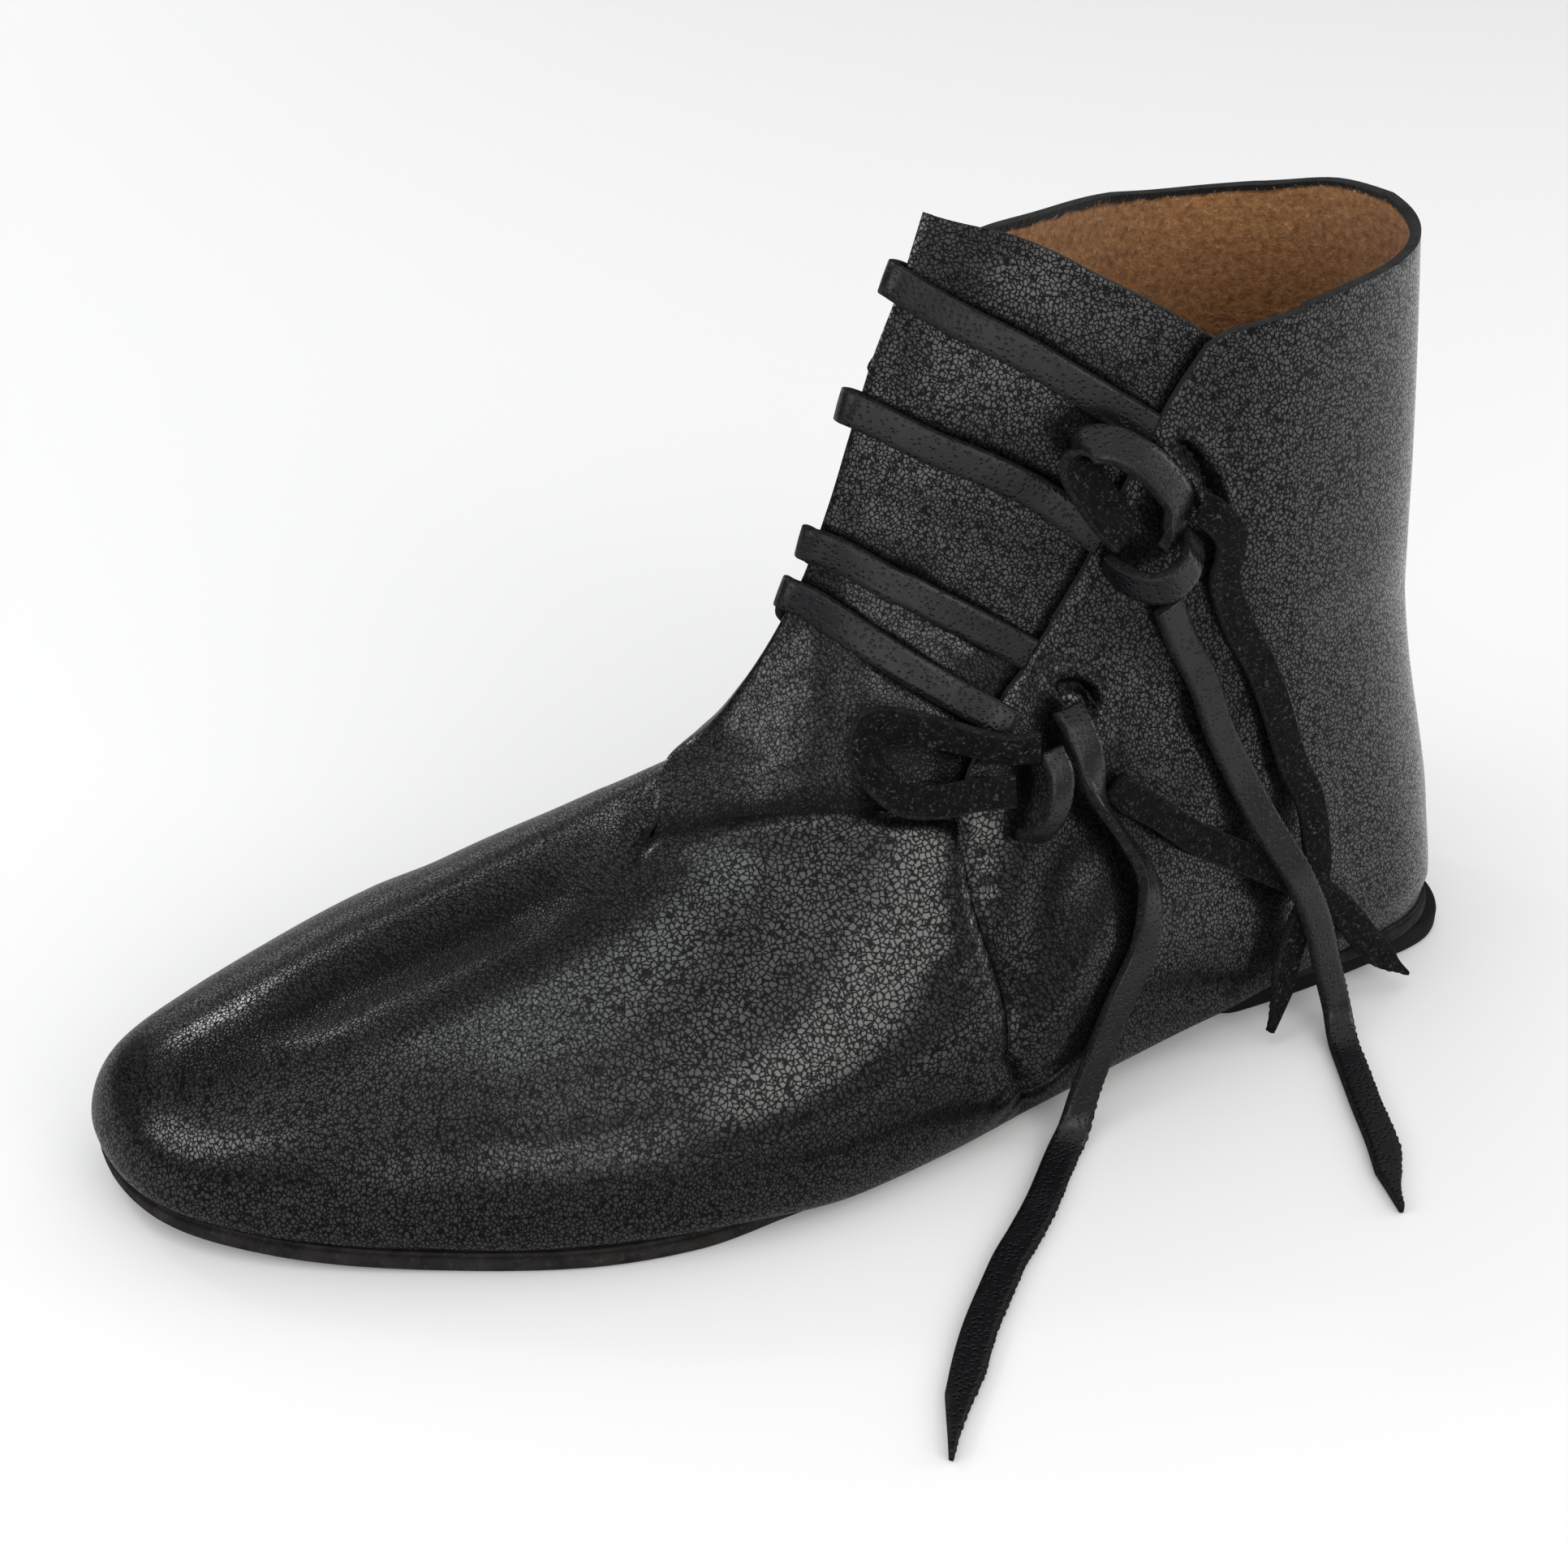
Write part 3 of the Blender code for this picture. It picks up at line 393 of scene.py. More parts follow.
sectionColumns = ("topX", "topY", "topZ", "baseX", "baseY", "baseZ", "outerY", "innerY", "widest",
                  "topRound", "baseRound")
sections = {  # x, y and z in percent of the length, ball width and front height
    "toe tip":   (100.0, -16.7, 8.6, 100.0, -16.7, 8.6, -16.7, -16.7, 0.40, 2.0, 2.0),
    "toe":       (97.5, -16.7, 15.3, 98.6, -15.7, 3.7, 2.6, -30.4, 0.38, 2.1, 2.8),
    "toe joint": (91.2, -14.7, 20.2, 93.0, -11.8, 1.8, 18.6, -38.2, 0.34, 2.1, 4.0),
    "forefoot":  (82.1, -12.7, 25.5, 83.5, -6.9, 1.2, 35.3, -44.1, 0.30, 2.0, 5.0),
    "ball":      (73.0, -10.8, 30.1, 73.0, -2.0, 0.6, 48.0, -46.1, 0.28, 1.9, 5.0),
    "vamp":      (65.6, -8.8, 35.0, 61.8, 1.0, 0.6, 53.9, -41.2, 0.26, 1.8, 5.0),
    "instep":    (59.6, -5.9, 41.1, 50.2, 3.9, 0.6, 52.0, -35.3, 0.24, 1.7, 5.0),
    "throat":    (55.4, -2.9, 50.3, 37.2, 4.9, 1.2, 48.0, -33.3, 0.24, 1.6, 4.5),
    "waist":     (52.3, -1.0, 60.1, 21.8, 5.9, 0.6, 44.1, -32.4, 0.24, 1.5, 4.0),
    "heel seat": (50.5, 0.0, 69.3, 6.8, 5.9, 0.0, 40.6, -30.4, 0.28, 1.45, 4.6),
    "heel back": (49.1, 0.0, 77.3, 3.1, 6.9, 14.7, 37.3, -27.5, 0.36, 1.4, 2.7),
    "ankle":     (47.4, -1.0, 85.3, 6.4, 7.8, 40.5, 35.0, -25.5, 0.40, 1.4, 2.3),
    "shaft":     (45.3, -2.0, 92.6, 8.2, 8.8, 66.3, 34.0, -25.5, 0.42, 1.4, 2.2),
    "collar":    (43.3, -3.9, 100.0, 10.3, 8.8, 92.0, 34.0, -25.0, 0.42, 1.4, 2.2),
}
lastRow = len(sections) - 1.0
seamRow = 6.52      # row at which the seams start at the sole
slitRound = 0.29    # foot of the slit
cornerRound = 0.45  # corner of the flap's seam on the instep


def softRead(table, at):
    # the table's second column read at places in its first: cubic between rows,
    # its slope at each row the harmonic mean of its neighbours' rise
    x, y = (np.asarray(column, float) for column in table.values())
    step = np.diff(x)
    rise = np.diff(y) / step
    same = rise[1:] * rise[:-1] > 0
    mean = np.where(same, 2 * rise[1:] * rise[:-1] / np.where(same, rise[1:] + rise[:-1], 1.0), 0.0)
    slope = np.concatenate([rise[:1], mean, rise[-1:]])
    at = np.clip(np.asarray(at, float), x[0], x[-1])
    k = np.clip(np.searchsorted(x, at, side="right") - 1, 0, len(x) - 2)
    t = (at - x[k]) / step[k]
    return (y[k] * (1 + 2 * t) * (1 - t) ** 2 + step[k] * slope[k] * t * (1 - t) ** 2
            + y[k + 1] * t * t * (3 - 2 * t) + step[k] * slope[k + 1] * t * t * (t - 1))


def ease(low, high, at):
    # 0 below low, 1 above high, level at both
    share = np.clip((np.asarray(at, float) - low) / (high - low), 0.0, 1.0)
    return share * share * (3.0 - 2.0 * share)


def blend(ends, at):
    # cubic through every point but the outermost two, read at fractional point numbers
    at = np.asarray(at, float)
    first = np.clip(np.floor(at).astype(int), 0, len(ends) - 4)
    part = (at - first)[..., None]
    before, here, after, beyond = (ends[first + step] for step in range(4))
    return 0.5 * (2 * here + (after - before) * part + (2 * before - 5 * here + 4 * after - beyond) * part ** 2
                  + (3 * here - before - 3 * after + beyond) * part ** 3)


def through(points, at):
    points = np.asarray(points, float)
    return blend(np.vstack([2 * points[0] - points[1], points, 2 * points[-1] - points[-2]]), at)


def unit(vectors):
    return vectors / np.maximum(np.linalg.norm(vectors, axis=-1, keepdims=True), 1e-9)


def bell(away, width, power=2):
    # 1 on a line, near 0 two widths from it
    return np.exp(-(away / width) ** power)


def span(edges, at):
    # rises between the first two edges, falls between the last two
    return ease(*edges[:2], at) * (1 - ease(*edges[2:], at))


def featherHeight(x):
    # height of the line where the upper meets the sole: flat, sprung at the toe, raised at the heel
    share = x / last["length"]
    toe = np.clip((share - last["springFrom"]) / last["springRun"], 0.0, 1.0)
    heel = ease(0.0, 1.0, (last["heelFrom"] - share) / last["heelRun"])
    return last["sole"] + last["gap"] + last["toeSpring"] * toe ** 2 + last["heelRise"] * heel


def sectionEnds():
    size = np.array([last["length"], last["width"], last["height"]] * 2 + [last["width"]] * 2 + [100.0] * 3) / 100
    rows = np.array(list(sections.values())) * size
    under = rows[1].copy()
    under[:3], under[3:6] = rows[1][3:6], rows[1][:3]
    under[6], under[7] = rows[1][7], rows[1][6]
    return np.vstack([under, rows, 2 * rows[-1] - rows[-2]])


endsOfSections = sectionEnds()


def skin(row, around):
    # outer face of the upper: each section is two rounded halves, cut off at the feather line;
    # row counts sections from the toe, around goes from the outer feather over the instep to the inner
    row, around = np.broadcast_arrays(np.asarray(row, float), np.asarray(around, float))
    v = dict(zip(sectionColumns, np.moveaxis(blend(endsOfSections, row), -1, 0)))
    outer = around <= 0.5
    climb = np.where(outer, 2 * around, 2 - 2 * around)
    tall = np.maximum(v["topZ"] - v["baseZ"], 1e-6)
    start = np.clip((featherHeight(v["baseX"]) - v["baseZ"]) / tall, 0.0, v["widest"] * 0.98)
    firstAngle = np.arccos(np.clip(1 - start / v["widest"], 0.0, 1.0) ** (v["baseRound"] / 2))
    angle = firstAngle + (np.pi - firstAngle) * climb
    low = angle < np.pi / 2
    power = 2 / np.where(low, v["baseRound"], v["topRound"])
    rise = np.abs(np.cos(angle)) ** power
    share = np.where(low, v["widest"] * (1 - rise), v["widest"] + (1 - v["widest"]) * rise)
    middle = v["baseY"] + share * (v["topY"] - v["baseY"])
    side = np.where(outer, v["outerY"], v["innerY"])
    y = middle + (side - middle) * np.abs(np.sin(angle)) ** power
    x = v["baseX"] + share * (v["topX"] - v["baseX"])
    z = v["baseZ"] + share * (v["topZ"] - v["baseZ"])
    return np.stack([x, y, z], -1)


def outward(row, around):
    # normal of the skin from two small steps along and round it
    stepRow, stepRound = 0.02, 0.004
    along = skin(np.minimum(row + stepRow, lastRow), around) - skin(row - stepRow, around)
    across = skin(row, np.clip(around + stepRound, 0.0, 1.0)) - skin(row, np.clip(around - stepRound, 0.0, 1.0))
    return unit(np.cross(along, across))


def closingRow(low, high):
    # row at which the base of a section passes the feather line
    rows = np.linspace(low, high, 2001)
    base = blend(endsOfSections, rows)
    above = base[:, 5] - featherHeight(base[:, 3])
    order = np.argsort(above)
    return float(np.interp(0.0, above[order], rows[order]))


toeCloses = closingRow(0.05, 1.0)
heelCloses = closingRow(9.0, 10.0)


def toMetres(points):
    return (np.asarray(points, float) - (last["middleX"], last["middleY"], 0.0)) * metre


# mesh helpers

def gridQuads(rows, columns, ring=False):
    # corner numbers of a grid's quads; a ring joins the last column to the first
    r, c = np.meshgrid(np.arange(rows - 1), np.arange(columns if ring else columns - 1), indexing="ij")
    after = (c + 1) % columns
    return np.stack([r * columns + c, (r + 1) * columns + c, (r + 1) * columns + after, r * columns + after],
                    -1).reshape(-1, 4)


def makePiece(name, points, faces, finishes, finishOf=None, values=None, weld=None, close=False):
    # weld joins points closer than that, close fills open ends and turns every face outwards
    mesh = bpy.data.meshes.new(name)
    mesh.from_pydata(toMetres(points).reshape(-1, 3).tolist(), [], faces)
    for finish in finishes:
        mesh.materials.append(finish)
    if finishOf is not None:
        mesh.polygons.foreach_set("material_index", finishOf.astype(np.int32))
    for key, value in (values or {}).items():
        layer = mesh.attributes.new(key, "FLOAT", "POINT")
        layer.data.foreach_set("value", np.asarray(value, np.float32).ravel())
    shape = bmesh.new()
    shape.from_mesh(mesh)
    if weld:
        bmesh.ops.remove_doubles(shape, verts=shape.verts, dist=weld)
    bmesh.ops.delete(shape, geom=[v for v in shape.verts if not v.link_faces], context="VERTS")
    for face in shape.faces:
        face.smooth = True
    if close:
        bmesh.ops.holes_fill(shape, edges=[e for e in shape.edges if e.is_boundary], sides=0)
        bmesh.ops.recalc_face_normals(shape, faces=shape.faces)
    shape.to_mesh(mesh)
    shape.free()
    return addObject(name, mesh)


def settle(piece, node):
    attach(piece, "root")
    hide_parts(node)
    return piece


wallSet = {"angle": 55.0, "segments": 2, "offset": -1.0}


def addWall(piece, thickness, bevel):
    # leather's thickness on the flesh side, with the cut edges slightly rounded
    wall = piece.modifiers.new("wall", "SOLIDIFY")
    wall.thickness, wall.offset = thickness * metre, wallSet["offset"]
    wall.use_even_offset, wall.use_rim = False, True
    wall.material_offset, wall.material_offset_rim = 1, 2  # flesh side, cut edge
    soft = piece.modifiers.new("cutEdge", "BEVEL")
    soft.limit_method, soft.angle_limit = "ANGLE", math.radians(wallSet["angle"])
    soft.width, soft.segments = bevel * metre, wallSet["segments"]


def nearPath(points, line, reach):
    # distance to a line of points, share of its length at the nearest place, its length; only within reach
    flat = points.reshape(-1, 3)
    close = ((flat > line.min(0) - reach) & (flat < line.max(0) + reach)).all(1)
    run = np.diff(line, axis=0)
    size = np.linalg.norm(run, axis=1)
    along = np.concatenate([[0.0], np.cumsum(size)])
    away = flat[close][:, None] - line[:-1]
    part = np.clip((away * run).sum(-1) / size ** 2, 0.0, 1.0)
    gap = np.linalg.norm(away - part[..., None] * run, axis=-1)
    k = gap.argmin(1)
    at = np.arange(len(k))
    distance, share = np.full(len(flat), 1e3), np.zeros(len(flat))
    distance[close] = gap[at, k]
    share[close] = (along[k] + part[at, k] * size[k]) / along[-1]
    return distance.reshape(points.shape[:-1]), share.reshape(points.shape[:-1]), along[-1]


def nearSkinLine(points, line, reach, count=60):
    # the same from a smooth line on the skin, given by its rows and rounds
    fine = through(np.column_stack([line["row"], line["round"]]), np.linspace(0, len(line["row"]) - 1, count))
    return nearPath(points, skin(fine[:, 0], fine[:, 1]), reach)


# thongs: bars, loops, knots and loose ends

tailPoints = {  # x, y, z, lean of the face from straight up, turn about the strap's own run
    "upper_tail_front": (
        (92.0, 33.0, 96.5, 88, 0), (88.6, 33.3, 89.0, 85, 0), (83.9, 35.4, 79.2, 84, 0), (80.2, 37.6, 68.3, 83, 0),
        (75.8, 40.3, 58.0, 81, 0), (71.6, 44.2, 48.5, 80, 0), (66.5, 48.6, 38.5, 80, 0), (61.6, 50.0, 27.2, 84, 0),
        (57.6, 50.2, 15.0, 80, 0), (55.5, 52.0, 6.0, 55, 0), (57.5, 57.5, 1.8, 15, 0), (61.0, 65.0, 1.3, 0, 0),
        (66.0, 75.5, 1.3, 0, 0), (71.0, 86.0, 1.3, 0, 0), (79.0, 101.0, 1.3, 0, 0)),
    "upper_tail_back": (
        (88.2, 34.4, 115.6, 88, 0), (86.4, 36.5, 114.4, 88, 0), (83.4, 37.6, 110.6, 88, 0),
        (81.9, 36.4, 105.4, 88, 0),
        (81.3, 35.1, 99.5, 88, 0), (77.4, 36.3, 89.2, 87, 0), (71.9, 38.0, 78.9, 86, 0), (65.0, 40.6, 60.2, 85, 0),
        (60.9, 42.6, 50.5, 84, 0), (60.2, 45.5, 40.2, 82, 0), (60.9, 46.6, 32.0, 82, 0), (64.0, 46.7, 22.0, 86, 0),
        (67.0, 48.0, 12.0, 80, 0), (70.0, 49.8, 3.5, 60, 0)),
    "lower_tail_heel": (
        (102.8, 36.2, 63.4, 70, 0), (100.0, 37.3, 60.1, 70, 0), (94.0, 38.9, 55.9, 72, 0), (86.1, 41.0, 49.1, 73, 0),
        (76.8, 42.5, 43.2, 76, 0), (69.1, 43.6, 38.1, 79, 0), (58.4, 44.3, 30.9, 83, 0), (50.0, 44.8, 22.5, 86, 0),
        (44.0, 45.5, 14.5, 85, 0), (38.5, 46.5, 7.5, 75, 0), (33.5, 47.5, 3.5, 60, 0)),
    "lower_tail_floor": (
        (111.4, 31.4, 79.6, 70, 0), (110.8, 34.2, 77.2, 70, 0), (110.0, 36.6, 73.2, 72, 0),
        (109.6, 38.2, 69.0, 76, -12),
        (108.9, 39.4, 65.0, 72, -40), (107.2, 40.4, 60.8, 68, -58), (104.2, 41.8, 55.4, 69, -60),
        (100.6, 43.6, 48.8, 70, -48), (99.2, 45.0, 42.1, 71, -22), (100.9, 47.2, 33.1, 74, 0),
        (106.9, 49.5, 25.2, 79, 0), (112.0, 51.4, 17.0, 82, 0), (116.5, 53.2, 9.0, 70, 0), (120.5, 56.0, 3.0, 35, 0),
        (126.0, 60.0, 1.4, 5, 0), (135.0, 68.0, 1.3, 0, 0), (143.5, 74.5, 1.3, 0, 0), (152.0, 81.0, 1.3, 0, 0),
        (167.0, 95.0, 1.3, 0, 0), (182.0, 113.0, 1.3, 0, 0)),
}
loopEdges = {  # the strap's two edges, point by point
    "upper_loop": (
        ((94.2, 32.8, 109.4), (97.6, 36.2, 109.6)), ((90.2, 33.0, 113.6), (96.4, 35.7, 112.0)),
        ((89.4, 33.0, 118.4), (96.0, 35.3, 116.6)), ((91.8, 32.2, 122.8), (98.2, 34.8, 119.8)),
        ((96.2, 30.6, 127.6), (102.0, 33.5, 124.0)), ((101.8, 28.6, 131.0), (107.4, 31.6, 127.4)),
        ((107.0, 27.2, 131.1), (113.0, 30.0, 127.6)), ((108.0, 27.4, 128.0), (114.6, 30.2, 124.6)),
        ((104.9, 29.4, 122.8), (112.0, 31.2, 119.4)), ((102.0, 31.0, 118.7), (109.2, 32.6, 114.8)),
        ((99.4, 32.0, 114.3), (105.6, 34.0, 110.6))),
    "upper_knot": (
        ((103.0, 27.5, 107.2), (101.6, 27.7, 102.6)), ((102.4, 30.6, 106.4), (100.8, 30.8, 101.0)),
        ((100.6, 33.4, 105.4), (98.6, 33.8, 99.8)), ((98.0, 35.6, 105.2), (95.8, 36.0, 99.3)),
        ((95.0, 36.9, 106.4), (92.4, 37.0, 100.2)), ((92.2, 36.2, 108.4), (88.9, 36.6, 103.0)),
        ((90.2, 33.8, 110.4), (86.6, 34.4, 105.2)), ((89.4, 31.6, 111.4), (85.4, 32.4, 106.4))),
    "lower_loop": (
        ((118.6, 33.6, 74.4), (119.6, 36.4, 79.4)), ((124.0, 32.6, 74.0), (125.0, 34.6, 79.2)),
        ((131.0, 30.0, 76.0), (131.6, 32.4, 81.4)), ((139.6, 25.0, 79.4), (142.6, 26.6, 85.4)),
        ((144.0, 22.4, 80.6), (148.6, 23.8, 85.4)), ((145.8, 22.0, 80.4), (151.4, 23.4, 83.2)),
        ((147.2, 23.4, 77.6), (153.0, 24.8, 79.4)), ((147.4, 25.6, 74.8), (153.2, 27.4, 75.8)),
        ((146.6, 27.6, 72.4), (151.4, 31.2, 72.2)), ((144.2, 29.0, 70.4), (147.2, 34.8, 68.8)),
        ((139.6, 30.2, 69.2), (140.6, 36.6, 67.4)), ((133.0, 30.2, 68.8), (133.6, 36.6, 66.8)),
        ((125.4, 31.4, 68.2), (126.2, 37.8, 66.2))),
    "lower_knot": (
        ((115.8, 34.6, 76.2), (119.2, 36.8, 73.4)), ((114.6, 38.0, 72.0), (119.4, 39.0, 70.2)),
        ((115.4, 40.0, 66.6), (120.6, 40.6, 66.4)), ((117.4, 40.4, 62.0), (122.6, 41.0, 63.4)),
        ((119.4, 39.0, 58.4), (124.0, 39.4, 61.0)), ((120.2, 36.8, 57.0), (124.6, 37.0, 60.0))),
}
loopAxis = {"lower_loop": ((142.9, 26.8, 77.5), (119.5, 36.2, 73.4))}  # its far edge is pinched towards this line
strapSet = {"step": 0.7, "crown": 0.10, "wander": 0.10, "swell": 0.04, "waves": (7.3, 3.1, 5.2), "tooth": 1.7,
            "toothDrift": (0.3, 4.0), "ragged": 0.22, "raggedFrom": (0.25, 0.45), "tipLoss": 0.93, "tipCurve": 0.8,
            "trimLoss": 0.80, "trimShare": 0.6, "leastHalf": 0.25, "samples": 40, "leastPoints": 8, "onFloor": 2.0}
tailSet = {  # grain: 1 if the grain side shows outwards; tip: length of the slanting cut; ragged: which edge
    "upper_tail_front": {"grain": 1, "tip": 17.0, "ragged": -1},
    "upper_tail_back": {"grain": -1, "tip": 14.0, "ragged": 1},
    "lower_tail_heel": {"grain": -1, "tip": 12.0, "ragged": 1},
    "lower_tail_floor": {"grain": 1, "tip": 22.0, "ragged": -1},
}


def strapProfile(crown):
    # flat face, rounded cut edge, flat back, rounded cut edge: across from -1 to 1, through from -1 to 1
    flat = np.linspace(-0.88, 0.88, 7)
    edge = np.array([(0.965, 0.70), (1.0, 0.0), (0.965, -0.70)])
    top = np.column_stack([flat, 1.0 + crown * (1 - flat ** 2)])
    finishOf = np.array([0] * 6 + [2] * 4 + [1] * 6 + [2] * 4)  # face, edge, back, edge
    return *np.vstack([top, edge, -top, -edge]).T, finishOf


def strapPiece(name, middle, side, thickness, halfLow, halfHigh, grain=1):
    # profile carried along the middle line: face normal is the side crossed with the run
    run = unit(np.gradient(middle, axis=0))
    side = unit(side - (side * run).sum(1, keepdims=True) * run)
    across, deep, finishOf = strapProfile(strapSet["crown"])
    half = np.where(across < 0, halfLow[:, None], halfHigh[:, None])
    rings = (middle[:, None] + (across * half)[..., None] * side[:, None]
             + (deep * thickness[:, None] / 2)[..., None] * np.cross(side, run)[:, None])
    count, around = rings.shape[:2]
    # both ends are closed with a fan round their middles
    here = np.arange(around)
    after, final, hub = (here + 1) % around, (count - 1) * around, np.full(around, count * around)
    fans = np.vstack([np.column_stack([hub, here, after]), np.column_stack([hub + 1, final + after, final + here])])
    faces = gridQuads(count, around, ring=True).tolist() + fans.tolist()
    points = np.vstack([rings.reshape(-1, 3), rings[[0, -1]].mean(1)])
    finishOf = np.concatenate([np.tile(finishOf, count - 1), np.full(2 * around, 2)])
    sides = (thongGrain, thongFlesh) if grain > 0 else (thongFlesh, thongGrain)
    piece = makePiece(name + "_thong", points, faces, (*sides, thongEdge), finishOf, close=True)
    return settle(piece, name)


def evenly(points, step):
    # the same smooth curve read again at even lengths
    rough = through(points, np.linspace(0, len(points) - 1, strapSet["samples"] * len(points)))
    run = np.concatenate([[0.0], np.cumsum(np.linalg.norm(np.diff(rough[:, :3], axis=0), axis=1))])
    at = np.linspace(0.0, run[-1], max(int(run[-1] / step), strapSet["leastPoints"]))
    fine = np.column_stack([np.interp(at, run, rough[:, k]) for k in range(rough.shape[1])])
    return fine, at


def strapBody(at, width, seed):
    # thickness and half width wander a little along a cut thong
    slow, quick, swell = strapSet["waves"]
    sway = strapSet["wander"] * (np.sin(at / slow + seed) + 0.6 * np.sin(at / quick + 2.1 * seed))
    thickness = last["thong"] * (1 + strapSet["swell"] * np.sin(at / swell + 1.7 * seed))
    return thickness, width / 2 + sway, width / 2 - sway / 2


def makeTail(name, seed):
    own, (drift, driftStep) = tailSet[name], strapSet["toothDrift"]
    fine, at = evenly(np.asarray(tailPoints[name], float), strapSet["step"])
    middle, lean, turn = fine[:, :3], np.radians(fine[:, 3]), np.radians(fine[:, 4:])
    face = np.column_stack([np.zeros(len(lean)), np.sin(lean), np.cos(lean)])
    run = unit(np.gradient(middle, axis=0))
    flat = unit(np.cross(run, face))
    side = flat * np.cos(turn) + np.cross(run, flat) * np.sin(turn)
    thickness, *halves = strapBody(at, last["thongWidth"], seed)
    # saw-like nicks on one edge, and a slanting cut that narrows to the tip from the other
    saw = np.abs((at / strapSet["tooth"] + drift * np.sin(at / driftStep)) % 1.0 - 0.5) * 4 - 1
    nick = strapSet["ragged"] * saw * ease(*strapSet["raggedFrom"], at / at[-1])
    toTip = (at[-1] - at) / own["tip"]
    narrow = 1 - strapSet["tipLoss"] * ease(0.0, 1.0, 1 - toTip) ** strapSet["tipCurve"]
    trimmed = 1 - strapSet["trimLoss"] * np.clip(1 - toTip / strapSet["trimShare"], 0, 1)
    low, high = (np.maximum(half * narrow + nick if edge == own["ragged"] else half * trimmed, strapSet["leastHalf"])
                 for edge, half in zip((-1, 1), halves))
    return strapPiece(name, middle, side, thickness, low, high, own["grain"]), middle


def makeLoop(name, seed, centre=None):
    edges = np.asarray(loopEdges[name], float).reshape(-1, 6)
    if name in loopAxis:
        near, (start, end) = edges[:, 3:], np.asarray(loopAxis[name])
        share = np.clip((near - start) @ (end - start) / ((end - start) @ (end - start)), 0, 1)
        edges[:, :3] = near + last["thongWidth"] * unit(start + share[:, None] * (end - start) - near)
    fine, at = evenly(edges, strapSet["step"])
    middle, side = (fine[:, :3] + fine[:, 3:]) / 2, fine[:, 3:] - fine[:, :3]
    face = np.cross(unit(side), unit(np.gradient(middle, axis=0)))
    away = middle - (middle.mean(0) if centre is None else np.asarray(centre))
    grain = 1 if (face * away).sum() > 0 else -1  # the grain side shows outwards
    body = strapBody(at, np.linalg.norm(side, axis=1), seed)
    return strapPiece(name, middle, side, *body, grain), middle


def lengthOf(line):
    return float(np.linalg.norm(np.diff(line, axis=0), axis=1).sum() * metre)


upperKnot = makeLoop("upper_knot", 0.4, centre=(96.0, 20.0, 106.0))[0]
lowerKnot = makeLoop("lower_knot", 1.9, centre=(118.0, 20.0, 66.0))[0]
upperLoop, upperLoopLine = makeLoop("upper_loop", 1.1)
lowerLoop, lowerLoopLine = makeLoop("lower_loop", 2.6)
for number, tailName in enumerate(tailPoints):
    tail, tailLine = makeTail(tailName, 0.8 + number)
    print(tailName, "is", round(lengthOf(tailLine) * 1000), "mm long")
print("cords tied")

# edges of the leather

sideSeam = {"round": (0.0, 0.13, 0.19, 0.25, 0.29), "row": (6.52, 6.56, 6.82, 7.06, 7.42)}
flapSeam = {"round": (0.29, 0.334, 0.378, 0.41, 0.434, 0.45), "row": (7.42, 7.04, 6.52, 6.06, 5.58, 5.18)}
innerLine = {"round": (0.45, 0.5, 0.6, 0.75, 0.9, 1.0), "row": (5.18, 5.2, 5.5, 6.0, 6.4, 6.52)}
collarOuter = {"round": (0.0, 0.1, 0.208, 0.274, 0.31, 0.322), "row": (13.14, 13.05, 12.92, 12.72, 12.55, 12.4)}
collarInner = {"round": (0.55, 0.62, 0.68, 0.77, 0.83, 0.89, 0.95, 1.0),
               "row": (12.5, 12.75, 12.83, 12.89, 12.96, 13.04, 13.12, 13.14)}
slitEdge = {"share": (0.0, 0.11, 0.18, 0.254, 0.292, 0.335, 0.376, 0.398, 0.4085, 0.4157, 0.4203, 0.4245, 0.434,
                      0.463, 0.507, 0.586, 0.70, 0.80, 0.918, 1.0),
            "round": (0.29, 0.310, 0.313, 0.313, 0.316, 0.328, 0.345, 0.357, 0.364, 0.371, 0.378, 0.3806, 0.3798,
                      0.3775, 0.374, 0.367, 0.355, 0.346, 0.334, 0.322)}
innerEdge = {"share": (0.0, 0.1, 0.25, 0.5, 1.0), "round": (0.45, 0.48, 0.52, 0.545, 0.55)}
flapTucked = {"share": (0.0, 0.5, 1.0), "round": (0.255, 0.31, 0.285)}
flapFolded = {"share": (0.0, 0.036, 0.076, 0.126, 0.16, 0.25, 0.5, 1.0),
              "round": (0.452, 0.4686, 0.485, 0.51, 0.535, 0.60, 0.63, 0.62)}
flapSunk = {"row": (5.2, 5.6, 6.6, 13.0), "depth": (0.0, 0.5, 3.2, 3.2)}
flapFoot = {"across": (0.0, 0.18, 0.405, 0.63, 0.795, 0.918, 1.0),
            "row": (7.75, 7.46, 7.08, 6.56, 6.1, 5.62, 5.22)}
flapTop = {"across": (0.0, 0.113, 0.185, 0.266, 0.352, 0.43, 0.50, 0.666, 0.761, 0.88, 1.0),
           "row": (12.25, 12.47, 12.60, 12.74, 12.91, 13.0, 13.01, 13.0, 12.6, 12.0, 11.2)}
slitRows, innerRows, collarSplit = (7.42, 12.4), (5.18, 12.1), 0.45
